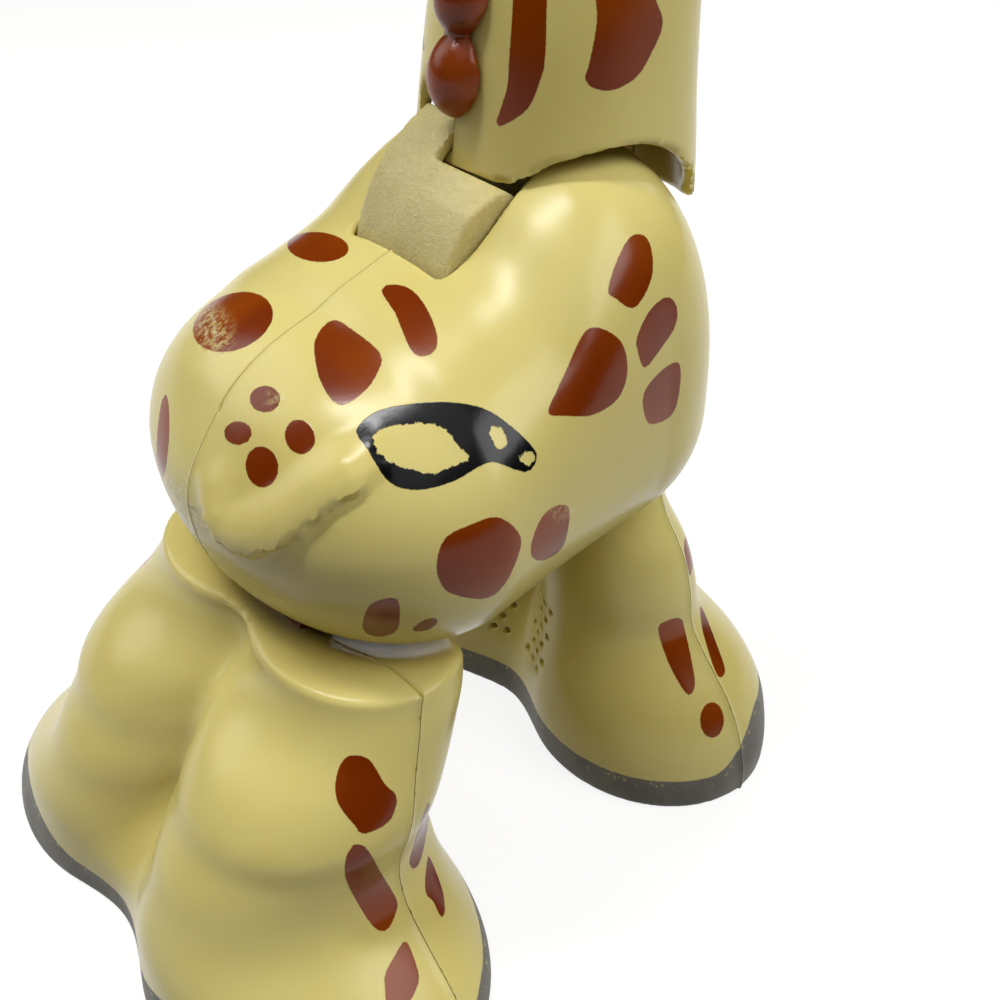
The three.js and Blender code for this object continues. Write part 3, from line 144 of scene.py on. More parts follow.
def round_max(a, b, radius):
    """The overlap of two solids, with its new edge rounded."""
    blend = np.clip(0.5 + 0.5 * (a - b) / radius, 0, 1)
    return b + (a - b) * blend + radius * blend * (1 - blend)


def round_min(a, b, radius):
    """Two solids joined with a fillet."""
    return -round_max(-a, -b, radius)


def from_middle(offset, total):
    """Distance to the skin of a form that is 1 in total on its skin, along a line from its middle."""
    reach = np.sqrt(sum(value**2 for value in offset))
    return reach * (1 - 1 / np.maximum(total, 1e-3))


def box_field(p, low, high, radius=0.0):
    middle, half = (low + high) / 2, (high - low) / 2
    away = np.abs(p - middle) - half + radius
    outside = np.linalg.norm(np.maximum(away, 0), axis=-1)
    return outside + np.minimum(away.max(axis=-1), 0) - radius


def rod_field(p, axis, centre, radius, low, high):
    """A rod along an axis, between two ends."""
    across = [k for k in range(3) if k != axis]
    side = np.linalg.norm(p[..., across] - np.array(centre, float)[across], axis=-1) - radius
    return np.maximum(side, np.maximum(low - p[..., axis], p[..., axis] - high))


def torso_skin(p):
    x, y, up = p[..., 0], p[..., 1], p[..., 2] - hip_z
    middle_x = np.clip(x, rear_hip_x, front_hip_x)
    share = (middle_x - rear_hip_x) / (front_hip_x - rear_hip_x)
    along = (x - rump_x) / (chest_x - rump_x)
    past = (x - middle_x) / np.where(x < middle_x, rump_radius, chest_radius)
    half_width = mix(rear_half_width, front_half_width, share)
    drop = mix(rump_radius, chest_radius, share) - belly_hollow * np.sin(math.pi * share)
    upper = up > 0
    height = np.where(upper, shoulder_rise * curve(back_rise_shares, along), drop)
    power = np.where(upper, curve(shoulder_powers, along), 2)
    ring = (np.abs(y / half_width) ** power + np.abs(up / height) ** power) ** (1 / power)
    return from_middle((x - middle_x, y, up), np.hypot(ring, past))


def belly_slot(p, hip_x, degrees, radius):
    """The slot in the belly where a hip arm swings."""
    x, z = p[..., 0] - hip_x, p[..., 2] - hip_z
    turn = np.degrees(np.arctan2(z, x)) % 360
    inner = radius - 3 * wall
    half_turn = arm_swing + math.degrees(math.asin(arm_half_depth / inner))
    side = (np.abs(turn - degrees) - half_turn) * math.pi / 180 * inner
    return np.maximum(np.maximum(side, np.abs(p[..., 1]) - arm_slot_half_width), inner - np.hypot(x, z))


tail_rise, tail_edge, tail_crest, tail_back = 1.9, 0.9, 3.2, 6
tail_start_share, tail_tuft_share = 1 / 5, 1 / 6
tail_pixels = [(193, 470), (199, 495), (206, 518), (220, 540), (239, 553), (257, 556), (280, 548),
               (308, 528), (334, 507), (359, 492), (380, 479), (402, 470)]


def near_path(p, path):
    """Distance to a path, the side of it that a place is on, and the share of the path nearest to it."""
    best = np.full(p.shape[:-1], 1e9)
    place, side = np.zeros(p.shape[:-1]), np.zeros(p.shape[:-1])
    for i in range(len(path) - 1):
        step = path[i + 1] - path[i]
        share = np.clip(((p - path[i]) @ step) / (step @ step), 0, 1)
        offset = p - path[i] - share[..., None] * step
        away = np.linalg.norm(offset, axis=-1)
        nearer = away < best
        place = np.where(nearer, (i + share) / (len(path) - 1), place)
        side = np.where(nearer, np.sign(offset @ np.cross(step, view_forward)), side)
        best = np.minimum(best, away)
    return best, side, place


tail_path = cast(torso_skin, tail_pixels)


def tail_relief(p):
    """The tail lies along the flank as a low ridge: steep at its lower edge and soft above."""
    away, side, place = near_path(p, tail_path)
    across = away * side
    fade = np.clip(place / tail_start_share, 0, 1) * np.clip((1 - place) / tail_tuft_share, 0, 1)
    front, back = ease((across + tail_edge) / tail_crest), ease((across - tail_crest) / tail_back)
    return tail_rise * fade * front * (1 - back)


def seam_line(p):
    """The height of the fine raised line along the middle seam."""
    return ridge_height * np.exp(-((p[..., 1] / ridge_reach) ** 2))


def past_seam(p, side):
    """How far a place is past the middle seam of one half."""
    return seam_gap / 2 - side * p[..., 1]


def torso_outside(p):
    return torso_skin(p) - tail_relief(p) - seam_line(p)


def even(skin, p):
    """A skin's field over its own steepness, which is a length in millimetres near the skin."""
    deepest, highest, reach, least, most = -20, 2, 0.2, 0.7, 10
    value = skin(p)
    near = (value > deepest) & (value < highest)
    here = p[near]
    steep = np.sqrt(sum(((skin(here + reach * axis) - value[near]) / reach) ** 2 for axis in np.eye(3)))
    value[near] /= np.clip(steep, least, most)
    return value


def torso_shell(side):
    def field(p):
        outside = torso_outside(p)
        shell = np.maximum(outside, -(even(torso_skin, p) + wall))
        shell = round_max(shell, -box_field(p, slot_low, slot_high, slot_corner), slot_edge)
        for hip_x, degrees, radius in belly_slots:
            shell = np.maximum(shell, -belly_slot(p, hip_x, degrees, radius))
        return np.maximum(shell, past_seam(p, side))
    return field


def ticks(low, high, step, *fine):
    """Places from low to high, closer together near each fine place (place, reach, step)."""
    places = [low]
    while places[-1] < high:
        near = [size + max(0, abs(places[-1] - place) - reach) / 3 for place, reach, size in fine]
        places.append(places[-1] + min([step, *near]))
    return np.array(places)


def side_ticks(side, high, step, *fine):
    """Places from just past the middle out to one side, in rising order."""
    return np.sort(side * ticks(-0.5, high, step, *fine))


def slope_of(field, points):
    """How fast a field grows along each axis."""
    reach = 0.05
    steps = reach * np.eye(3)
    return np.stack([field(points + step) - field(points - step) for step in steps], axis=-1) / (2 * reach)


def nearer_skin(field, points, farthest=99):
    """The points after one step, of a limited length, towards where a field crosses zero."""
    slope = slope_of(field, points)
    move = (field(points) / np.maximum((slope**2).sum(axis=1), 0.04))[:, None] * slope
    size = np.linalg.norm(move, axis=1, keepdims=True)
    return points - move * np.minimum(1, farthest / np.maximum(size, 1e-9))


def skin_of(field, axes, lean=None):
    """Closed quads where a field crosses zero, from samples on a grid that may follow a leaning seam."""
    grid = np.stack(np.meshgrid(*axes, indexing="ij"), axis=-1)
    if lean:
        grid[..., 0] += lean(grid[..., 2])
    slab_thickness = 12
    slabs = np.array_split(grid, max(1, len(grid) // slab_thickness))
    values = np.concatenate([field(slab) for slab in slabs])
    inside = values < 0
    cells = tuple(n - 1 for n in values.shape)
    total, count = np.zeros((*cells, 3)), np.zeros(cells)
    crossings = []
    for axis in range(3):
        low = tuple(slice(None, -1) if k == axis else slice(None) for k in range(3))
        high = tuple(slice(1, None) if k == axis else slice(None) for k in range(3))
        where = np.argwhere(inside[low] != inside[high])
        near, far = tuple(where.T), tuple((where + np.eye(3, dtype=int)[axis]).T)
        share = (values[near] / (values[near] - values[far]))[:, None]
        points = mix(grid[near], grid[far], share)
        a, b = [k for k in range(3) if k != axis]
        keep = np.all([(where[:, k] > 0) & (where[:, k] < cells[k]) for k in (a, b)], axis=0)
        if not keep.all():
            raise ValueError("a skin runs off its grid")
        around = []
        for step_a, step_b in ((1, 1), (0, 1), (0, 0), (1, 0)):
            cell = where.copy()
            cell[:, a] -= step_a
            cell[:, b] -= step_b
            np.add.at(total, tuple(cell.T), points)
            np.add.at(count, tuple(cell.T), 1)
            around.append(cell)
        flip = inside[near] != (axis == 1)
        crossings.append((around, flip))
    number = np.full(cells, -1)
    number[count > 0] = np.arange((count > 0).sum())
    points = total[count > 0] / count[count > 0][:, None]
    quads = []
    for around, flip in crossings:
        corners = np.stack([number[tuple(cell.T)] for cell in around], axis=1)
        quads.append(np.where(flip[:, None], corners, corners[:, ::-1]))
    for _ in range(2):
        points = nearer_skin(field, points, 0.3)
    return points, np.concatenate(quads)


def settle(points, skin, seam):
    """Moves the points by a shell's outer edge to where its skin meets its seam, for a clean line."""
    reach = 0.75
    near = (np.abs(seam(points)) < seam_gap) & (np.abs(skin(points)) < reach)
    edge = points[near]
    for _ in range(6):
        for field in (skin, seam):
            edge = nearer_skin(field, edge)
    moved = np.linalg.norm(edge - points[near], axis=1) < 2 * reach
    points[np.flatnonzero(near)[moved]] = edge[moved]


same_place = 0.02


def make_piece(name, field, axes, lean=None, crease=50, edge=()):
    """A mesh object of a field's skin, in metres."""
    points, quads = skin_of(field, axes, lean)
    if edge:
        settle(points, *edge)
    mesh = bpy.data.meshes.new(name)
    mesh.from_pydata(points * mm, [], quads)
    form = bmesh.new()
    form.from_mesh(mesh)
    bmesh.ops.remove_doubles(form, verts=form.verts, dist=same_place * mm)
    form.to_mesh(mesh)
    form.free()
    mesh.shade_smooth()
    mesh.set_sharp_from_angle(angle=math.radians(crease))
    piece = bpy.data.objects.new(name, mesh)
    scene.collection.objects.link(piece)
    return piece


def place_of(piece):
    """A piece's points in millimetres."""
    places = np.empty(3 * len(piece.data.vertices), np.float32)
    piece.data.vertices.foreach_get("co", places)
    return places.reshape(-1, 3).astype(float) / mm


def rounded(corners):
    """A smooth closed outline through these corners."""
    here, steps = np.array(corners, float), 5
    before, after, beyond = (np.roll(here, turns, axis=0) for turns in (1, -1, -2))
    t = (np.arange(steps) / steps)[:, None, None]
    line = (2 * here + (after - before) * t + (2 * before - 5 * here + 4 * after - beyond) * t**2
            + (3 * here - before - 3 * after + beyond) * t**3) / 2
    return line.transpose(1, 0, 2).reshape(-1, 2)


def oval(x, y, width, height, turn=0):
    """The pixels of an oval that is turned by some degrees."""
    angle, turn = np.linspace(0, 2 * math.pi, 24, endpoint=False), math.radians(turn)
    a, b = np.cos(angle) * width / 2, np.sin(angle) * height / 2
    along, across = a * math.cos(turn) - b * math.sin(turn), a * math.sin(turn) + b * math.cos(turn)
    return np.stack([x + along, y + across], axis=1)


def lay(skin, corners):
    """A flat outline on a skin: its middle, its three directions and its corners across two of them."""
    corners = corners[~np.isnan(corners).any(axis=1)]
    middle = corners.mean(axis=0)
    out = slope_of(skin, middle[None])[0]
    out /= np.linalg.norm(out)
    across = np.cross(out, (0, 0, 1))
    across /= np.linalg.norm(across)
    axes = np.stack([across, np.cross(across, out), out])
    return middle, axes, (corners - middle) @ axes[:2].T


def seen(skin, outlines):
    """Outlines of pixels laid on a skin as the camera sees them."""
    return [lay(skin, cast(skin, outline)) for outline in outlines]


def other_side(skin, outlines, shift, turn):
    """The same outlines on the figure's other flank, moved and turned a little as hand-placed ones are."""
    turn = math.radians(turn)
    laid = []
    for middle, axes, corners in seen(skin, outlines):
        spread = corners @ np.array([[math.cos(turn), math.sin(turn)], [-math.sin(turn), math.cos(turn)]])
        places = (middle + np.array(shift) + spread @ axes[:2]) * (1, -1, 1)
        for _ in range(4):
            places = nearer_skin(skin, places)
        laid.append(lay(skin, places))
    return laid


def depth_in(outline, places):
    """How far flat places lie inside a closed outline; below zero outside."""
    ends = np.roll(outline, -1, axis=0)
    along = ends - outline
    offset = places[:, None] - outline
    share = np.clip((offset * along).sum(axis=-1) / np.maximum((along**2).sum(axis=-1), 1e-9), 0, 1)
    away = np.linalg.norm(offset - share[..., None] * along, axis=-1).min(axis=1)
    over = (outline[:, 1] > places[:, None, 1]) != (ends[:, 1] > places[:, None, 1])
    rise = np.where(along[:, 1] == 0, 1, along[:, 1])
    crossing = outline[:, 0] + (places[:, None, 1] - outline[:, 1]) / rise * along[:, 0]
    inside = (over & (places[:, None, 0] < crossing)).sum(axis=1) % 2 == 1
    return np.where(inside, away, -away)


print_reach = 3


def print_on(piece, name, laid):
    """Stores how deep each point of a piece lies inside the nearest of some outlines, in millimetres."""
    points = place_of(piece)
    depth = np.full(len(points), -float(print_reach))
    for middle, axes, corners in laid:
        local = (points - middle) @ axes.T
        size = np.abs(corners).max() + print_reach
        near = (np.abs(local[:, :2]).max(axis=1) < size) & (np.abs(local[:, 2]) < size)
        if near.any():
            depth[near] = np.maximum(depth[near], depth_in(corners, local[near, :2]))
    store(piece, name, np.clip(depth, -print_reach, print_reach))


def store(piece, name, values):
    layer = piece.data.attributes.new(name, "FLOAT", "POINT")
    layer.data.foreach_set("value", np.asarray(values, np.float32))


def bare(piece, *names):
    """Marks that a piece of the yellow plastic has none of these prints."""
    for name in names:
        store(piece, name, np.full(len(piece.data.vertices), -print_reach))


flank_spots = [rounded(corners) for corners in (
    [(608, 290), (617, 260), (630, 237), (643, 235), (651, 247), (652, 277), (635, 308), (615, 298)],
    [(637, 337), (650, 310), (667, 297), (677, 307), (675, 327), (660, 350), (645, 368), (638, 353)],
    [(662, 370), (677, 362), (681, 373), (678, 400), (670, 417), (650, 424), (643, 407), (645, 390)],
    [(548, 413), (556, 392), (567, 368), (583, 334), (597, 327), (617, 337), (626, 353), (627, 377),
     (617, 400), (593, 415), (566, 416)],
    [(315, 360), (316, 337), (332, 320), (350, 328), (380, 353), (378, 372), (363, 393), (340, 405),
     (323, 387)],
    [(382, 293), (387, 285), (407, 287), (423, 302), (435, 327), (437, 347), (427, 356), (413, 353),
     (403, 333), (395, 313)],
    [(437, 560), (445, 538), (467, 526), (498, 517), (520, 535), (518, 557), (503, 587), (483, 599),
     (450, 593), (438, 577)],
    [(531, 545), (540, 520), (553, 507), (568, 506), (569, 524), (562, 548), (545, 560), (533, 558)],
    [(363, 620), (372, 603), (395, 598), (400, 610), (397, 630), (380, 637), (365, 632)],
    [(412, 630), (422, 621), (435, 618), (437, 624), (425, 631)],
)]
rump_spots = [oval(163, 438, 12, 88, 3), oval(265, 399, 31, 27), oval(238, 433, 28, 24),
              oval(300, 437, 30, 36, -20), oval(262, 467, 33, 42, -10)]
back_spots = [oval(318, 247, 62, 30, 4), oval(233, 322, 84, 56, -22)]
tuft_outline = rounded([
    (356, 433), (365, 419), (383, 409), (417, 403), (450, 402), (483, 408), (510, 425), (533, 447),
    (537, 460), (528, 472), (513, 469), (493, 462), (477, 468), (457, 480), (433, 488), (410, 490),
    (390, 483), (377, 467), (367, 450),
])
tuft_worn = [oval(498, 437, 17, 27, -25), oval(527, 458, 17, 16), rounded([
    (373, 437), (383, 428), (410, 423), (433, 423), (447, 430), (457, 443), (470, 455), (468, 462),
    (450, 468), (433, 475), (413, 471), (390, 463), (377, 453),
])]
rump_scuffs = [oval(190, 505, 34, 80, -25), oval(212, 330, 40, 56, -20), oval(560, 512, 26, 12),
               oval(275, 400, 14, 20)]


def linear(red, green, blue):
    """A colour as a screen shows it, made linear for the shader."""
    return (*(value / 12.92 if value < 0.04045 else ((value + 0.055) / 1.055) ** 2.4
              for value in (red / 255, green / 255, blue / 255)), 1)


def new_finish(name, colour, roughness, **sockets):
    """A material whose sockets that are the same all over hold plain numbers."""
    material = bpy.data.materials.new(name)
    material.use_nodes = True
    tree = material.node_tree
    shader = tree.nodes["Principled BSDF"]
    shader.inputs["Base Color"].default_value = linear(*colour)
    shader.inputs["Roughness"].default_value = roughness
    for socket, value in sockets.items():
        shader.inputs[socket.replace("_", " ")].default_value = value
    return material, tree, shader


def node(tree, kind, inputs, output=0, **settings):
    """Adds a shader node; each input is a number or another node's output."""
    made = tree.nodes.new("ShaderNode" + kind)
    for name, value in settings.items():
        setattr(made, name, value)
    for socket, value in inputs.items():
        if isinstance(value, bpy.types.NodeSocket):
            tree.links.new(value, made.inputs[socket])
        else:
            made.inputs[socket].default_value = value
    return made.outputs[output]


def object_place(tree):
    """A point's place on the object at rest, in metres."""
    return node(tree, "TexCoord", {}, "Object")


def speckle(tree, size, detail=2.0, stretch=(1, 1, 1), rough=0.5):
    """Cloudy variation from 0 to 1 with features of some millimetres."""
    place = node(tree, "VectorMath", {0: object_place(tree), 1: stretch}, operation="MULTIPLY")
    return node(tree, "TexNoise", {"Vector": place, "Scale": 1 / (size * mm), "Detail": detail,
                                   "Roughness": rough})


def span(tree, value, low, high, to_low=0.0, to_high=1.0):
    """Maps a range of values smoothly on to another."""
    return node(tree, "MapRange", {"Value": value, "From Min": low, "From Max": high, "To Min": to_low,
                                   "To Max": to_high}, interpolation_type="SMOOTHSTEP")


def sum_of(tree, a, b, operation="ADD"):
    return node(tree, "Math", {0: a, 1: b}, operation=operation)


def product(tree, a, b):
    return sum_of(tree, a, b, "MULTIPLY")


def rest_of(tree, share):
    """What a share leaves of one."""
    return sum_of(tree, 1.0, share, "SUBTRACT")


def feed(tree, shader, socket, value):
    tree.links.new(value, shader.inputs[socket])


def tint(tree, share, a, b):
    """One colour over another by a share."""
    colours = [linear(*value) if isinstance(value, tuple) else value for value in (a, b)]
    made = tree.nodes.new("ShaderNodeMix")
    made.data_type = "RGBA"
    for socket, value in zip(("Factor", "A", "B"), (share, *colours)):
        target = next(k for k in made.inputs if k.name == socket and k.enabled)
        if isinstance(value, bpy.types.NodeSocket):
            tree.links.new(value, target)
        else:
            target.default_value = value
    return next(k for k in made.outputs if k.enabled)


def raise_by(tree, shader, height, depth):
    """Bumps a finish by a height from 0 to 1, times a depth in millimetres."""
    bump = node(tree, "Bump", {"Height": height, "Strength": 1.0, "Distance": depth * mm}, "Normal")
    feed(tree, shader, "Normal", bump)


def stored(tree, name):
    return node(tree, "Attribute", {}, "Fac", attribute_name=name)


def print_share(tree, name, noise, ragged, low=0.04, high=0.2):
    """From 0 outside a print to 1 inside it, with an edge made ragged by a noise."""
    return span(tree, sum_of(tree, stored(tree, name), product(tree, noise, ragged)), low, high)


shell_yellow, shell_dim, shell_worn = (232, 217, 136), (226, 209, 124), (242, 236, 200)
scuff_dirt = (150, 120, 70)
spot_brown, spot_dark = (150, 66, 3), (124, 46, 2)
tuft_black, hoof_grey, hoof_dark = (14, 14, 16), (124, 121, 110), (106, 103, 94)


def yellow_plastic():
    """Satin yellow plastic with printed spots, a printed tuft and painted hooves, worn where it rubs."""
    material, tree, shader = new_finish("yellow_plastic", shell_yellow, 0.34, Subsurface_Weight=0.12,
                                        Subsurface_Scale=4 * mm, Specular_IOR_Level=0.3)
    shader.inputs["Subsurface Radius"].default_value = (1, 0.62, 0.2)
    colour = tint(tree, span(tree, speckle(tree, 26, 3), 0.35, 0.75), shell_yellow, shell_dim)
    fine, grit = speckle(tree, 0.5, 3), speckle(tree, 1.1, 5, rough=0.7)
    scuffs = span(tree, stored(tree, "scuffs"), -1.5, 2.5)
    scratch = speckle(tree, 1.3, 4, (1, 0.35, 2.2), 0.75)
    scratched = product(tree, scuffs, span(tree, scratch, 0.53, 0.6))
    colour = tint(tree, product(tree, scratched, 0.85), colour, shell_worn)
    dirt = product(tree, scuffs, span(tree, speckle(tree, 2.2, 5, (1, 0.5, 2)), 0.58, 0.7))
    colour = tint(tree, product(tree, dirt, 0.6), colour, scuff_dirt)

    brown = tint(tree, span(tree, speckle(tree, 22, 1), 0.35, 0.65), spot_brown, spot_dark)
    rubbed = product(tree, scuffs, span(tree, grit, 0.44, 0.56))
    spot = product(tree, print_share(tree, "spots", fine, 0.22), rest_of(tree, product(tree, rubbed, 0.6)))
    colour = tint(tree, spot, colour, brown)

    worn = print_share(tree, "tuft_worn", grit, 1.6, 0.82, 0.98)
    tuft = product(tree, print_share(tree, "tuft", fine, 0.2), rest_of(tree, worn))
    colour = tint(tree, tuft, colour, tuft_black)

    chipped = product(tree, span(tree, stored(tree, "hoof"), 3.0, 1.0), span(tree, grit, 0.6, 0.66))
    painted = print_share(tree, "hoof", speckle(tree, 3, 3), 0.5, 0.15, 0.45)
    hoof = product(tree, painted, rest_of(tree, chipped))
    grey = tint(tree, span(tree, speckle(tree, 7, 4), 0.35, 0.7), hoof_grey, hoof_dark)
    feed(tree, shader, "Base Color", tint(tree, hoof, colour, grey))

    paint = sum_of(tree, spot, tuft, "MAXIMUM")
    rough = span(tree, speckle(tree, 14, 3), 0.3, 0.7, 0.23, 0.26)
    rough = sum_of(tree, rough, product(tree, paint, -0.05))
    rough = sum_of(tree, rough, sum_of(tree, product(tree, hoof, 0.25), product(tree, scratched, 0.2)))
    feed(tree, shader, "Roughness", rough)
    height = sum_of(tree, product(tree, fine, 0.3), product(tree, paint, 0.5))
    raise_by(tree, shader, sum_of(tree, height, product(tree, scratched, 0.8)), 0.035)
    return material


yellow = yellow_plastic()
pieces = {}
for side, name in ((1, "left"), (-1, "right")):
    axes = (ticks(rump_x - 4, chest_x + 3, 1.0, (slot_low[0], 1.5, 0.5), (slot_high[0], 1.5, 0.5)),
            side_ticks(side, 42, 1.0, (0.1, 0.3, 0.22), (slot_high[1], 1.2, 0.5)),
            ticks(hip_z - 32, hip_z + 47, 1.0))
    pieces[name] = make_piece("torso_" + name, torso_shell(side), axes,
                              edge=(torso_outside, lambda p: past_seam(p, side)))
    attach(pieces[name], "torso")
    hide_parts("torso_shell_" + name)
spots_seen = seen(torso_skin, flank_spots + rump_spots + back_spots)
spots_far = other_side(torso_skin, flank_spots[:4] + flank_spots[6:], (2, 0, -2), 10)
tuft_seen = seen(torso_skin, [tuft_outline])
worn_seen, scuffs_seen = seen(torso_skin, tuft_worn), seen(torso_skin, rump_scuffs)
for piece in pieces.values():
    print_on(piece, "spots", spots_seen + spots_far)
    print_on(piece, "tuft", tuft_seen)
    print_on(piece, "tuft_worn", worn_seen)
    print_on(piece, "scuffs", scuffs_seen)
    bare(piece, "hoof")
    piece.data.materials.append(yellow)

# Neck and head shells
# Two moulded halves screwed together on the middle line, which the cradle's block carries. The lower
# edge is a lip cut level behind and hollowed by an arch round the neck's axle, so it clears the torso.
neck_foot_z, neck_height = 100, 96
neck_half_depth, neck_half_width = 20, 21.5
neck_foot_x, neck_lean = 23, 13
neck_shares = [
    (0, 1, 1.03, 0, 2.5), (0.13, 1, 1, 0.01, 2.5), (0.26, 0.97, 0.95, 0.04, 2.4),
    (0.4, 0.93, 0.9, 0.12, 2.3), (0.58, 0.82, 0.82, 0.32, 2.2), (0.78, 0.72, 0.76, 0.66, 2.1),
    (1, 0.68, 0.76, 1, 2),
]
head_back_x, muzzle_tip_x = 16, 76
head_z, muzzle_drop, muzzle_solid = 206, 9, 7
head_half_height, head_half_width = 21, 20
head_shares = [
    (0, 0, 0, 0), (0.06, 0.5, 0.5, 0), (0.2, 0.86, 0.85, 0), (0.36, 1, 1, 0), (0.52, 0.92, 0.9, 0.12),
    (0.66, 0.7, 0.68, 0.55), (0.78, 0.58, 0.6, 0.85), (0.9, 0.56, 0.62, 1), (0.97, 0.4, 0.47, 1),
    (1, 0, 0, 1),
]
skirt_rear, skirt_front = (2.5, 115.6), (43, 106)
skirt_radius, skirt_tuck, tuck_start, tuck_reach, lip_edge = 22, 1.5, 112, 18, 0.5
arc_radius, arc_thickness, arc_half_width = 25.4, 2, 11.2
arc_top, arc_bottom = 114, 190
step_angle, step_front_angle = 145.5, 127
facet_lip, facet_fall = (0.4, 117.1), 0.667
facet_angles, facet_drops = (129, 145, 165), (4.3, 1.2, 0)
finger_low_y = 0.9
fit_gap = 0.3


def neck_centre_x(z):
    return neck_foot_x + neck_lean * curve(neck_shares, (z - neck_foot_z) / neck_height, 3)


def neck_form(p):
    share = (p[..., 2] - neck_foot_z) / neck_height
    across = p[..., 0] - neck_centre_x(p[..., 2])
    power = curve(neck_shares, share, 4)
    ring = (np.abs(across / (neck_half_depth * curve(neck_shares, share))) ** power
            + np.abs(p[..., 1] / (neck_half_width * curve(neck_shares, share, 2))) ** power) ** (1 / power)
    return np.maximum(from_middle((across, p[..., 1]), ring), p[..., 2] - neck_foot_z - neck_height - 2)


def head_form(p):
    share = (p[..., 0] - head_back_x) / (muzzle_tip_x - head_back_x)
    up = p[..., 2] - head_z + muzzle_drop * curve(head_shares, share, 3)
    height = np.maximum(head_half_height * curve(head_shares, share), 0.3)
    width = np.maximum(head_half_width * curve(head_shares, share, 2), 0.3)
    past = np.maximum(head_back_x - p[..., 0], p[..., 0] - muzzle_tip_x)
    return np.maximum(from_middle((p[..., 1], up), np.hypot(p[..., 1] / width, up / height)), past)


def neck_skin(p):
    return round_min(neck_form(p), head_form(p), 5)


def skirt_plane(p):
    """How far a point is below the skirt's straight edge."""
    along = np.array(skirt_front) - np.array(skirt_rear)
    out = np.array([-along[1], along[0]]) / np.hypot(*along)
    return -(p[..., 0] - skirt_rear[0]) * out[0] - (p[..., 2] - skirt_rear[1]) * out[1]


def from_axle(p):
    """Distance from the neck's axle and the angle round it."""
    x, z = p[..., 0] - neck_axle_x, p[..., 2] - neck_axle_z
    return np.hypot(x, z), np.degrees(np.arctan2(z, x)) % 360


def sector(p, inner, outer, low, high, low_y, high_y, rounding=0.0):
    """A bent plate round the neck's axle, between two angles."""
    reach, turn = from_axle(p)
    middle, half = (low + high) / 2, math.radians(high - low) / 2
    local = np.stack([reach, np.radians(turn - middle) * (inner + outer) / 2, p[..., 1]], axis=-1)
    half_length = half * (inner + outer) / 2
    low_corner = np.array([inner, -half_length, low_y])
    return box_field(local, low_corner, np.array([outer, half_length, high_y]), rounding)


def neck_shell(side):
    def field(p):
        outside = even(neck_skin, p)
        hollow = np.maximum(outside + wall, p[..., 0] - muzzle_tip_x + muzzle_solid)
        shell = np.maximum(outside - seam_line(p), -hollow)
        reach, turn = from_axle(p)
        arch = skirt_radius - skirt_tuck * np.clip((turn - tuck_start) / tuck_reach, 0, 1)
        notch = sector(p, arc_radius - arc_thickness - 0.4, arc_radius + 8, arc_top - 1.5, 165,
                       finger_low_y - fit_gap, arc_half_width + fit_gap, 0.8)
        for cut in (skirt_plane(p), arch - reach, -notch):
            shell = round_max(shell, cut, lip_edge)
        return np.maximum(shell, past_seam(p, side))
    return field


neck_stripes = [rounded(corners) for corners in (
    [(515, -30), (549, -34), (547, 0), (545, 60), (538, 87), (527, 110), (502, 126), (496, 123),
     (500, 110), (507, 87), (509, 60), (513, 0)],
    [(597, -12), (622, -34), (648, -24), (656, 0), (663, 25), (648, 60), (637, 77), (620, 88),
     (607, 91), (593, 88), (585, 79), (590, 60), (597, 20)],
)]
neck_stripes += [oval(*values) for values in (
    (674, -60, 26, 78, 6), (570, -130, 40, 84, 14), (640, -170, 52, 70, -24), (548, -250, 34, 66, 8),
    (610, -300, 46, 58, 30),
)]
stripes_laid = seen(neck_skin, neck_stripes) + other_side(neck_skin, neck_stripes, (11, 0, 4), 12)
for side, name in ((1, "left"), (-1, "right")):
    axes = (ticks(-2, 80, 1.1, (-1, 2, 0.8)), side_ticks(side, 25, 1.1, (0.1, 0.3, 0.25), (11.5, 1, 0.6)),
            ticks(98, 231, 1.1, (110, 12, 0.6)))
    piece = make_piece("neck_" + name, neck_shell(side), axes,
                       edge=(lambda p: neck_skin(p) - ridge_height, lambda p: past_seam(p, side)))
    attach(piece, "neck")
    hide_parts("neck_shell_" + name)
    print_on(piece, "spots", stripes_laid)
    bare(piece, "tuft", "tuft_worn", "scuffs", "hoof")
    piece.data.materials.append(yellow)

# Cradle
# The beige inner piece that carries the neck on its axle. Its arc closes the torso's slot while the
# neck nods, and steps down under the neck's lip beside a finger that reaches up below the mane.
hub_radius = 6
cradle_half_width, cradle_corner, cradle_fillet = 8, 0.5, 0.4
cradle_low, cradle_high = (14, 120.8), (32, 140)
axle_hole_radius, screw_hole_radius, screw_hole_place = 2.3, 1.5, (23, 0, 133)


def arc_skin(p):
    """The arc's outside: round about the axle, and falling away in a twisted facet below the neck's lip."""
    reach, turn = from_axle(p)
    across = np.clip((finger_low_y - p[..., 1]) / (arc_half_width + finger_low_y), 0, 1)
    return reach - arc_radius + across * np.interp(turn, facet_angles, facet_drops)


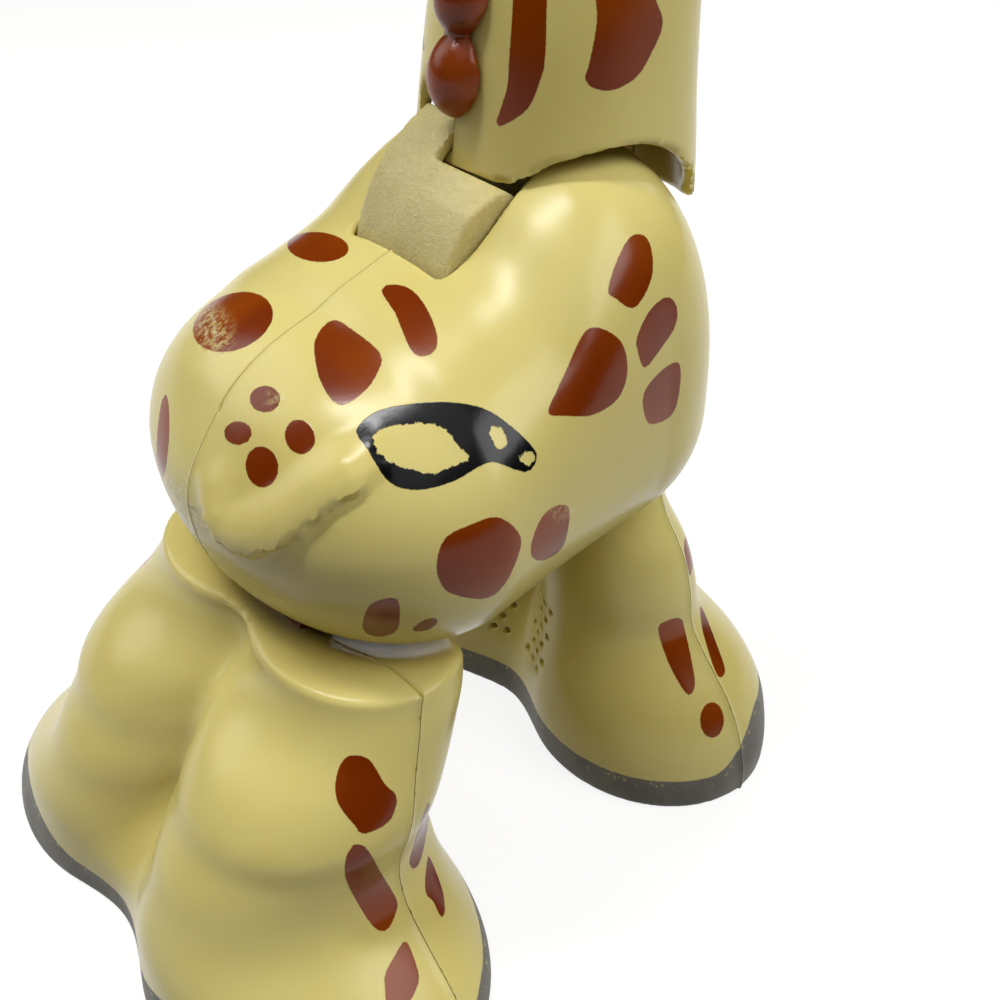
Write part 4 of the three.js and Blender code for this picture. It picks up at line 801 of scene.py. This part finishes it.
def cradle_solid(p):
    inner = arc_radius - arc_thickness
    axle = (neck_axle_x, 0, neck_axle_z)
    solid = rod_field(p, 1, axle, hub_radius, -arc_half_width, arc_half_width)
    post = box_field(p, np.array([neck_axle_x - hub_radius, -cradle_half_width, neck_axle_z]),
                     np.array([neck_axle_x + hub_radius, cradle_half_width, cradle_high[1]]), cradle_corner)
    block = box_field(p, np.array([cradle_low[0], -cradle_half_width, cradle_low[1]]),
                      np.array([cradle_high[0], cradle_half_width, cradle_high[1]]), cradle_corner)
    rib = sector(p, hub_radius / 2, inner + 1, 146, 175, -arc_thickness, arc_thickness)
    arc = sector(p, skirt_radius - 4, arc_radius + 2, step_front_angle, arc_bottom,
                 -arc_half_width, arc_half_width)
    lip = ((p[..., 0] - facet_lip[0]) * facet_fall + p[..., 2] - facet_lip[1]) / math.hypot(1, facet_fall)
    arc = round_max(round_max(arc, arc_skin(p), 0.6), lip, 0.4)
    finger = sector(p, inner, arc_radius, arc_top, arc_bottom - 1, finger_low_y, arc_half_width,
                    cradle_corner)
    for part in (post, block, rib, arc, finger):
        solid = round_min(solid, part, cradle_fillet)
    for place, radius in ((axle, axle_hole_radius), (screw_hole_place, screw_hole_radius)):
        solid = np.maximum(solid, -rod_field(p, 1, place, radius, -20, 20))
    return solid


cradle_axes = (ticks(-10, 34, 0.8, (-4, 5, 0.5)),
               ticks(-12, 12, 0.8, (-arc_half_width, 1, 0.4), (-1, 0.8, 0.4), (arc_half_width, 1, 0.4)),
               ticks(90, 142, 0.8, (112, 5, 0.5)))
cradle = make_piece("cradle", cradle_solid, cradle_axes)
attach(cradle, "neck")
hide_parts("neck_cradle")


def grained_beige():
    """Beige plastic that is a little clear, with the fine grain of a spark-eroded mould; its sparkle is
    painted into the colour as pale glints on the grain.
    """
    material, tree, shader = new_finish("grained_beige", (216, 203, 140), 0.38, Subsurface_Weight=0.35,
                                        Subsurface_Scale=5 * mm, Specular_IOR_Level=0.45)
    shader.inputs["Subsurface Radius"].default_value = (1, 0.7, 0.3)
    clouds = tint(tree, span(tree, speckle(tree, 12, 3), 0.3, 0.7), (218, 205, 142), (206, 192, 126))
    grain = speckle(tree, 0.55, 4, rough=0.7)
    # Painted glints: the grain's peaks are lightened in the colour to stand for its sparkle.
    painted_glints = span(tree, grain, 0.5, 0.75, 0, 0.3)
    feed(tree, shader, "Base Color", tint(tree, painted_glints, clouds, (240, 234, 200)))
    feed(tree, shader, "Roughness", span(tree, speckle(tree, 2.4, 3), 0.3, 0.7, 0.2, 0.34))
    raise_by(tree, shader, grain, 0.2)
    return material


cradle.data.materials.append(grained_beige())

# Mane
# One brown moulding of rounded lobes, glued along the seam up the back of the neck and of the head.
# Its lowest lobe is cut out where the cradle's finger reaches up to it.
mane_radius, mane_half_height = 5.2, 6.2
mane_first_z, mane_last_z, mane_pitch = 128.6, 216, 10.4
mane_head_lift = 3.2
lobe_count = 1 + round((mane_last_z - mane_first_z) / mane_pitch)


def mane_centre_x(z):
    share = np.clip((z - neck_foot_z) / neck_height, 0, 1)
    back = neck_centre_x(z) - neck_half_depth * curve(neck_shares, share)
    rise = np.clip((z - head_z + head_half_height) / head_half_height, 0, 1)
    on_head = mix(back, head_back_x + head_half_height / 5, rise**2)
    return np.minimum(back, on_head) + mane_radius / 6 - mane_head_lift * rise


def mane_solid(p):
    solid = np.full(p.shape[:-1], 99.0)
    halves = (mane_radius, mane_radius, mane_half_height)
    for z in np.linspace(mane_first_z, mane_last_z, lobe_count):
        away = (p[..., 0] - mane_centre_x(p[..., 2]), p[..., 1], p[..., 2] - z)
        ring = np.sqrt(sum((value / half) ** 2 for value, half in zip(away, halves)))
        solid = round_min(solid, from_middle(away, ring), 0.8)
    solid = round_max(solid, fit_gap - neck_skin(p), 0.4)
    finger = sector(p, arc_radius - arc_thickness, arc_radius + fit_gap, arc_top - 1, step_angle, -20, 20)
    return np.maximum(solid, -finger)


mane = make_piece("mane_lobes", mane_solid, (ticks(-5, 26, 0.8), ticks(-6, 6, 0.8), ticks(119, 225, 0.8)))
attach(mane, "neck")
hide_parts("mane")


def glossy_brown():
    """Red-brown glossy plastic, a shade darker in slow streaks, with faint handling marks."""
    material, tree, shader = new_finish("glossy_brown", (150, 66, 8), 0.26, Subsurface_Weight=0.1,
                                        Subsurface_Scale=3 * mm, Specular_IOR_Level=0.3)
    streaks = tint(tree, span(tree, speckle(tree, 8, 3, (1, 1, 0.5)), 0.3, 0.7), (152, 68, 8), (128, 50, 5))
    marks = span(tree, speckle(tree, 1.6, 5, rough=0.7), 0.62, 0.72, 0, 0.2)
    feed(tree, shader, "Base Color", tint(tree, marks, streaks, (196, 128, 78)))
    feed(tree, shader, "Roughness", span(tree, speckle(tree, 5, 4), 0.3, 0.7, 0.2, 0.34))
    raise_by(tree, shader, speckle(tree, 0.6, 3), 0.02)
    return material


brown = glossy_brown()
mane.data.materials.append(brown)

# Ears, horns and eyes
# Each is a separate moulding pushed into the head on a peg: dished yellow ears, brown knobbed horns
# and polished black domes for eyes. The face is a plain one of this toy's own.
ear_foot_z, ear_foot_x = 213, 37
ear_half_length, ear_half_width, ear_half_thickness, ear_lift = 13, 7.5, 3, math.radians(25)
horn_x, horn_y, horn_radius, knob_radius, horn_top_z = 44, 9, 3.2, 4.6, 247
eye_x, eye_z, eye_radius = 60, 210, 4.6
ear_side_share, eye_side_share = 0.85, 0.66


def oval_solid(p, middle, halves):
    offset = tuple(p[..., k] - middle[k] for k in range(3))
    return from_middle(offset, np.sqrt(sum((value / half) ** 2 for value, half in zip(offset, halves))))


def ear_solid(side):
    def field(p):
        y, z = side * p[..., 1] - head_half_width * ear_side_share, p[..., 2] - ear_foot_z
        out = y * math.cos(ear_lift) + z * math.sin(ear_lift)
        up = z * math.cos(ear_lift) - y * math.sin(ear_lift)
        local = np.stack([p[..., 0] - ear_foot_x, out - ear_half_length, up], axis=-1)
        leaf = oval_solid(local, (0, 0, 0), (ear_half_thickness, ear_half_length, ear_half_width))
        dish = oval_solid(local, (ear_half_thickness, 0, 0),
                          (ear_half_thickness, ear_half_length * 0.72, ear_half_width * 0.72))
        return round_max(round_max(leaf, -dish, 0.8), fit_gap - neck_skin(p), 0.5)
    return field


def horn_solid(side):
    def field(p):
        stem = rod_field(p, 2, (horn_x, side * horn_y, 0), horn_radius, head_z, horn_top_z - knob_radius)
        knob = oval_solid(p, (horn_x, side * horn_y, horn_top_z - knob_radius), [knob_radius] * 3)
        return round_max(round_min(stem, knob, 1.6), fit_gap - neck_skin(p), 0.3)
    return field


def eye_solid(side):
    middle = (eye_x, side * head_half_width * eye_side_share, eye_z)
    return lambda p: round_max(oval_solid(p, middle, [eye_radius] * 3), fit_gap / 2 - neck_skin(p), 0.3)


def polished_black():
    """Black plastic with a polished clear coat and faint dust."""
    material, tree, shader = new_finish("polished_black", (18, 15, 13), 0.12, Coat_Weight=0.4)
    dust = span(tree, speckle(tree, 1.2, 5, rough=0.7), 0.6, 0.72, 0, 0.12)
    feed(tree, shader, "Base Color", tint(tree, dust, (18, 15, 13), (120, 112, 100)))
    feed(tree, shader, "Roughness", span(tree, speckle(tree, 4, 3), 0.3, 0.7, 0.08, 0.2))
    return material


black = polished_black()
for side, name in ((1, "left"), (-1, "right")):
    for piece_name, old_name, solid, xs, ys, zs, slot_name, finish in (
        ("ear", "ear", ear_solid, (32, 42, 0.6), (12, 44, 0.7), (204, 234, 0.7), "yellow_shell", yellow),
        ("horn", "ossicone", horn_solid, (38, 50, 0.6), (3, 15, 0.6), (212, 248.5, 0.6),
         "brown_trim", brown),
        ("eye", "eye", eye_solid, (54, 66, 0.5), (6, 20, 0.5), (204, 216, 0.5), "eye", black),
    ):
        axes = (ticks(*xs), np.sort(side * ticks(*ys)), ticks(*zs))
        piece = make_piece(f"{piece_name}_piece_{name}", solid(side), axes)
        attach(piece, "neck")
        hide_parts(f"{old_name}_{name}")
        bare(piece, "spots", "tuft", "tuft_worn", "scuffs", "hoof")
        piece.data.materials.append(finish)

# Legs
# Each pair of legs is one hollow unit of two moulded halves that meet on a leaning line. It rides on a
# hip ball through a saddle in its top, and its outside is two rounded lobes with a groove between them.
leg_units = {
    "rear": {
        "back": -76, "front": -21.5, "half_width": 58, "height": 54, "seam": (-39, -30.2, 31),
        "knee": ((38, 8, 1.3), (21, 7, -1.6)),
        "saddle": (rear_hip_x, rump_radius + 2.2, rear_half_width + 3), "shares": [
            (0, 0, -0.023, 1, 0.7), (0.074, 0.01, -0.007, 0.985, 0.7),
            (0.167, 0.03, 0.022, 0.908, 0.69), (0.241, 0.035, 0.033, 0.818, 0.79),
            (0.333, 0.057, 0.025, 0.717, 0.89), (0.463, 0.131, 0.017, 0.669, 0.91),
            (0.574, 0.24, -0.018, 0.666, 0.93), (0.63, 0.272, -0.027, 0.672, 0.95),
            (0.704, 0.338, -0.06, 0.655, 0.93), (0.759, 0.392, -0.091, 0.637, 0.89),
            (0.833, 0.498, -0.109, 0.622, 0.85), (0.907, 0.557, -0.132, 0.61, 0.82),
            (0.963, 0.578, -0.145, 0.591, 0.76), (1, 0.58, -0.158, 0.587, 0.66),
        ],
    },
    "front": {
        "back": 10.2, "front": 54.3, "half_width": 47, "height": 58, "seam": (33, 31, 0),
        "knee": ((40, 9, 0.6), (24, 8, -0.6)),
        "saddle": (front_hip_x, chest_radius + swing_gap, front_half_width + swing_gap), "shares": [
            (0, 0, 0, 1, 0.8), (0.07, -0.005, -0.01, 1, 0.8), (0.155, 0, -0.01, 0.98, 0.8),
            (0.24, 0.02, 0.007, 0.95, 0.8), (0.345, 0.05, 0.063, 0.88, 0.82),
            (0.45, 0.09, 0.154, 0.76, 0.86), (0.535, 0.12, 0.234, 0.675, 0.88),
            (0.655, 0.15, 0.28, 0.65, 0.88), (0.79, 0.18, 0.32, 0.6, 0.86),
            (0.91, 0.2, 0.37, 0.5, 0.8), (1, 0.21, 0.38, 0.46, 0.8),
        ],
    },
}
front_groove_ease = 0.62
groove_places, groove_blends = (0, 0.2, 0.45, 0.8, 1), (16, 13, 5, 5, 7)
sound_z, sound_first_y, sound_pitch, sound_radius = 22, 3.4, 2.9, 0.65
sound_rows, sound_columns = 6, 3
leg_edge, saddle_edge = 1.2, 2.5
leg_ridge_height, leg_ridge_reach = 0.3, 0.55
leg_spots = {
    "rear": [rounded(corners) for corners in (
        [(345, 758), (355, 755), (370, 760), (385, 784), (395, 793), (397, 803), (388, 823),
         (364, 834), (355, 826), (340, 807), (335, 790), (338, 770)],
        [(358, 844), (368, 850), (382, 874), (396, 898), (397, 910), (389, 928), (381, 931),
         (371, 924), (358, 904), (346, 880), (345, 862), (350, 848)],
        [(404, 941), (411, 950), (419, 976), (415, 992), (408, 1004), (398, 1010), (387, 1004),
         (385, 990), (385, 974), (394, 957)],
        [(430, 802), (427, 830), (421, 859), (414, 869), (409, 862), (412, 850), (420, 824),
         (425, 810)],
        [(429, 856), (436, 871), (443, 892), (445, 910), (442, 918), (437, 910), (433, 901),
         (426, 894), (425, 880), (427, 862)],
    )],
    "front": [rounded(corners) for corners in (
        [(658, 630), (664, 622), (680, 618), (685, 630), (692, 662), (695, 684), (690, 695),
         (682, 688), (668, 662)],
        [(700, 606), (706, 616), (716, 642), (725, 668), (722, 677), (716, 674), (708, 650),
         (702, 628)],
        [(686, 530), (692, 550), (693, 562), (690, 576), (686, 566), (684, 548)],
    )] + [oval(712, 720, 24, 36)],
}
hoof_low, hoof_lobe_rise, hoof_toe_rise, hoof_lobe_y, hoof_lobe_reach = 5, 6, 8, 30, 12


def seam_x(unit, z):
    """Where a unit's seam runs at a height: upright to its knee, then leaning."""
    foot, top, knee = unit["seam"]
    past_knee = (z - knee + np.hypot(z - knee, 5)) / 2
    return foot + (top - foot) / (unit["height"] - knee) * past_knee


def from_seam(unit, p):
    """How far in front of a unit's seam a place is."""
    return p[..., 0] - seam_x(unit, p[..., 2])


def hoof_height(place, unit, points):
    """How high the grey paint goes: up over each rear heel, and up over the front toes."""
    forward = from_seam(unit, points)
    if place == "rear":
        heel = np.exp(-(((np.abs(points[:, 1]) - hoof_lobe_y) / hoof_lobe_reach) ** 2))
        return hoof_low + hoof_lobe_rise * heel * np.clip(-forward / 15, 0, 1)
    return hoof_low + 2 + hoof_toe_rise * ease((forward + 7) / 15)


def eased(table, share, column=1):
    """A table's curve, evened over a little of the height so that no ring shows."""
    return sum(curve(table, share + shift, column) for shift in (-0.03, -0.015, 0, 0.015, 0.03)) / 5


def leg_skin(p, unit):
    share = p[..., 2] / unit["height"]
    table = unit["shares"]
    back = mix(unit["back"], unit["front"], eased(table, share))
    front = mix(unit["front"], unit["back"], eased(table, share, 2))
    half_width = unit["half_width"] * eased(table, share, 3)
    across, half_depth = p[..., 0] - (back + front) / 2, (front - back) / 2
    from_centre = np.maximum(np.hypot(across / half_depth, p[..., 1] / half_width), 1e-3)
    forward = 0.5 + 0.5 * across / half_depth / from_centre
    ratio = eased(table, share, 4) * mix(1, front_groove_ease, forward)
    blend = np.interp(share, groove_places, groove_blends)
    valley = np.clip(np.sqrt(1 - ratio**2) - (blend / 4 - 1) / half_depth, 0.04, 1)
    ratio = np.sqrt(1 - valley**2)
    lobe_width = half_width / (1 + ratio)
    lobes = []
    for side in (-1, 1):
        y = p[..., 1] - side * (half_width - lobe_width)
        lobes.append(from_middle((across, y), np.hypot(across / half_depth, y / lobe_width)))
    knee = sum(rise * np.exp(-(((p[..., 2] - z) / reach) ** 2)) for z, reach, rise in unit["knee"])
    return round_min(*lobes, blend) - knee * (1 - forward)


def saddle_ball(p, unit):
    hip_x, radius, half_width = unit["saddle"]
    x, y, z = p[..., 0] - hip_x, p[..., 1], p[..., 2] - hip_z
    return from_middle((x, y, z), np.sqrt((x**2 + z**2) / radius**2 + (y / half_width) ** 2))


def sound_holes(p):
    holes = np.full(p.shape[:-1], 99.0)
    near = (np.abs(p[..., 1]) < 14) & (np.abs(p[..., 2] - sound_z) < 12) & (p[..., 0] < front_hip_x + 7)
    y, z = np.abs(p[near][:, 1]), p[near][:, 2]
    best = np.full(len(y), 99.0)
    for row in range(sound_rows):
        for column in range(sound_columns):
            hole_z = sound_z + (row - (sound_rows - 1) / 2) * sound_pitch
            hole_y = sound_first_y + (column + (row % 2) / 2) * sound_pitch
            best = np.minimum(best, np.hypot(y - hole_y, z - hole_z) - sound_radius)
    holes[near] = best
    return holes


def seam_ridge(unit, p):
    return leg_ridge_height * np.exp(-((from_seam(unit, p) / leg_ridge_reach) ** 2))


def leg_shell(unit, side):
    def field(p):
        outside = even(lambda q: leg_skin(q, unit), p)
        ends = np.abs(p[..., 2] - unit["height"] / 2) - unit["height"] / 2
        form = round_max(outside - seam_ridge(unit, p), ends, leg_edge)
        form = round_max(form, -saddle_ball(p, unit), saddle_edge)
        hollow = np.maximum(outside + wall, wall - saddle_ball(p, unit))
        hollow = np.maximum(hollow, p[..., 2] - unit["height"] + wall)
        shell = np.maximum(form, -hollow)
        if unit is leg_units["front"] and side < 0:
            shell = np.maximum(shell, -sound_holes(p))
        return np.maximum(shell, seam_gap / 2 - side * from_seam(unit, p))
    return field


for place, unit in leg_units.items():
    fine_seam = (0, 0.3, 0.25)
    half_width = unit["half_width"] + 2
    foot, top, _ = unit["seam"]

    def whole_leg(p):
        return leg_skin(p, unit)

    def skin(p):
        return even(whole_leg, p) - seam_ridge(unit, p)

    laid = seen(whole_leg, leg_spots[place]) + other_side(whole_leg, leg_spots[place], (1, 0, 2), 8)
    for side, name in ((-1, "back"), (1, "front")):
        behind, ahead = unit["back"] - max(foot, top) - 3, unit["front"] - foot + 5
        low, high = (behind, 0.5) if side < 0 else (-0.5, ahead)
        fine_y, fine_z = [], [(0, 1.2, 0.5), (unit["height"] - 3, 4, 0.7)]
        if place == "front" and side < 0:
            fine_y, fine_z = [(0, 10.6, 0.32)], [*fine_z, (sound_z, 8.5, 0.32)]
        axes = (ticks(low, high, 0.9, fine_seam), ticks(-half_width, half_width, 1.1, *fine_y),
                ticks(-1, unit["height"] + 1, 0.9, *fine_z))
        piece = make_piece(f"{place}_legs_{name}", leg_shell(unit, side), axes, lambda z: seam_x(unit, z),
                           60, edge=(skin, lambda p: seam_gap / 2 - side * from_seam(unit, p)))
        print_on(piece, "spots", laid)
        points = place_of(piece)
        above = hoof_height(place, unit, points) - points[:, 2]
        store(piece, "hoof", np.clip(above, -print_reach, print_reach))
        bare(piece, "tuft", "tuft_worn", "scuffs")
        piece.data.materials.append(yellow)
        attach(piece, place + "_legs")
        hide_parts(f"{place}_leg_shell_{name}")

# Inner parts
# What carries and works the figure: plated pins and screws, a green board with its chip, three cells in
# a tray, the speaker, the switches, the reddish hip arms and the grey soles that close the feet.
def plated_steel():
    """Nickel-plated steel with fine drawing lines."""
    material, tree, shader = new_finish("plated_steel", (188, 190, 194), 0.28, Metallic=1.0)
    lines = speckle(tree, 0.4, 4, (1, 0.05, 1))
    shade = span(tree, lines, 0.3, 0.7)
    feed(tree, shader, "Base Color", tint(tree, shade, (196, 198, 202), (150, 152, 158)))
    feed(tree, shader, "Roughness", span(tree, lines, 0.3, 0.7, 0.2, 0.4))
    raise_by(tree, shader, lines, 0.02)
    return material


def printed_board():
    """A board under green mask, with lighter copper tracks below it."""
    material, tree, shader = new_finish("printed_board", (38, 98, 50), 0.4)
    bricks = {"Vector": object_place(tree), "Scale": 180.0, "Mortar Size": 0.03}
    tracks = node(tree, "TexBrick", bricks, "Fac")
    feed(tree, shader, "Base Color", tint(tree, tracks, (36, 94, 48), (72, 140, 78)))
    raise_by(tree, shader, tracks, 0.06)
    return material


def cell_sleeve():
    """A printed sleeve: plain green with one lighter band round each cell."""
    material, tree, shader = new_finish("cell_sleeve", (70, 136, 74), 0.32, Metallic=0.2)
    across = node(tree, "SeparateXYZ", {0: object_place(tree)}, "Y")
    band = span(tree, across, 12 * mm, 12.6 * mm)
    clouds = tint(tree, span(tree, speckle(tree, 6, 3), 0.3, 0.7), (74, 140, 78), (52, 112, 58))
    feed(tree, shader, "Base Color", tint(tree, band, clouds, (206, 206, 198)))
    raise_by(tree, shader, speckle(tree, 0.5, 3), 0.02)
    return material


def moulded(name, light, dark, roughness):
    """A plain moulding with fine grain and slow shade changes."""
    material, tree, shader = new_finish(name, light, roughness)
    grain = speckle(tree, 0.7, 4, rough=0.65)
    clouds = tint(tree, span(tree, speckle(tree, 9, 3), 0.3, 0.7), light, dark)
    lifted = tuple(min(255, value + 26) for value in light)
    flecks = span(tree, grain, 0.55, 0.75, 0, 0.3)
    feed(tree, shader, "Base Color", tint(tree, flecks, clouds, lifted))
    rough = span(tree, grain, 0.3, 0.7, roughness - 0.06, roughness + 0.08)
    feed(tree, shader, "Roughness", rough)
    raise_by(tree, shader, grain, 0.06)
    return material


inner_finishes = {
    "steel": plated_steel(), "board": printed_board(), "cell": cell_sleeve(), "yellow_shell": yellow,
    "arm": moulded("reddish_arm", (140, 76, 52), (112, 56, 38), 0.45),
    "sole": moulded("grey_sole", (112, 110, 104), (90, 88, 82), 0.6),
    "dark_plastic": moulded("dark_moulding", (44, 44, 46), (32, 32, 34), 0.5),
}
for part in frame["nodes"].values():
    for place, old in enumerate(part.data.materials):
        if old.name in inner_finishes:
            part.data.materials[place] = inner_finishes[old.name]

# Table and light
# The figure stands on a wide pale sheet under a narrow lamp overhead and four soft ones round it.
# The sheet keeps the shadow, and a white room shows behind it.
floor_reach, lamp_reach = 3.0, 0.8
lamp_aim = np.array([0, 0, 0.09])
sheet_lift = 0.86


def rays_of(tree, *kinds):
    """One for light paths of any of these kinds, else zero."""
    rays = 0.0
    for kind in kinds:
        rays = sum_of(tree, rays, node(tree, "LightPath", {}, f"Is {kind} Ray"), "MAXIMUM")
    return rays


def white_sheet():
    """A pale sheet that the camera sees brighter than the light it gives the figure."""
    material, tree, shader = new_finish("white_sheet", (124, 122, 118), 0.8)
    rays = rays_of(tree, "Camera", "Glossy", "Transmission")
    shader.inputs["Emission Color"].default_value = (1, 1, 1, 1)
    feed(tree, shader, "Emission Strength", product(tree, rays, sheet_lift))
    weave = tint(tree, speckle(tree, 2, 3), (126, 124, 120), (122, 120, 116))
    feed(tree, shader, "Base Color", weave)
    return material


corners = [(x * floor_reach, y * floor_reach, 0) for x, y in ((-1, -1), (1, -1), (1, 1), (-1, 1))]
mesh = bpy.data.meshes.new("sheet")
mesh.from_pydata(corners, [], [(0, 1, 2, 3)])
sheet = bpy.data.objects.new("sheet", mesh)
scene.collection.objects.link(sheet)
sheet.data.materials.append(white_sheet())

for name, direction, length, breadth, power in (
    ("overhead", (-0.26, 0.21, 0.94), 0.09, 0.34, 3.0),
    ("flank_side", (0.3, -0.62, 0.72), 0.5, 0.5, 3.6),
    ("rump_side", (-0.35, -0.3, 0.88), 0.5, 0.5, 0.6),
    ("head_side", (0.78, 0.3, 0.55), 0.5, 0.5, 1.6),
    ("far_side", (-0.42, 0.74, 0.53), 0.5, 0.5, 1.9),
):
    data = bpy.data.lights.new(name, "AREA")
    data.shape = "RECTANGLE"
    data.size, data.size_y, data.energy = length, breadth, power
    lamp = bpy.data.objects.new(name, data)
    direction = np.array(direction) / np.linalg.norm(direction)
    lamp.location = lamp_aim + lamp_reach * direction
    lamp.rotation_euler = mathutils.Vector(direction).to_track_quat("Z", "Y").to_euler()
    scene.collection.objects.link(lamp)

room_light, room_white, room_warmth = 0.02, 1.0, (1, 0.82, 0.5, 1)
world = bpy.data.worlds.new("room")
scene.world = world
world.use_nodes = True
room = world.node_tree
background = room.nodes["Background"]
rays = rays_of(room, "Camera", "Transmission")
feed(room, background, "Strength", span(room, rays, 0, 1, room_light, room_white))
warmth = node(room, "MixRGB", {"Fac": rays, "Color1": room_warmth, "Color2": (1, 1, 1, 1)})
feed(room, background, "Color", warmth)
scene.view_settings.view_transform = "Standard"
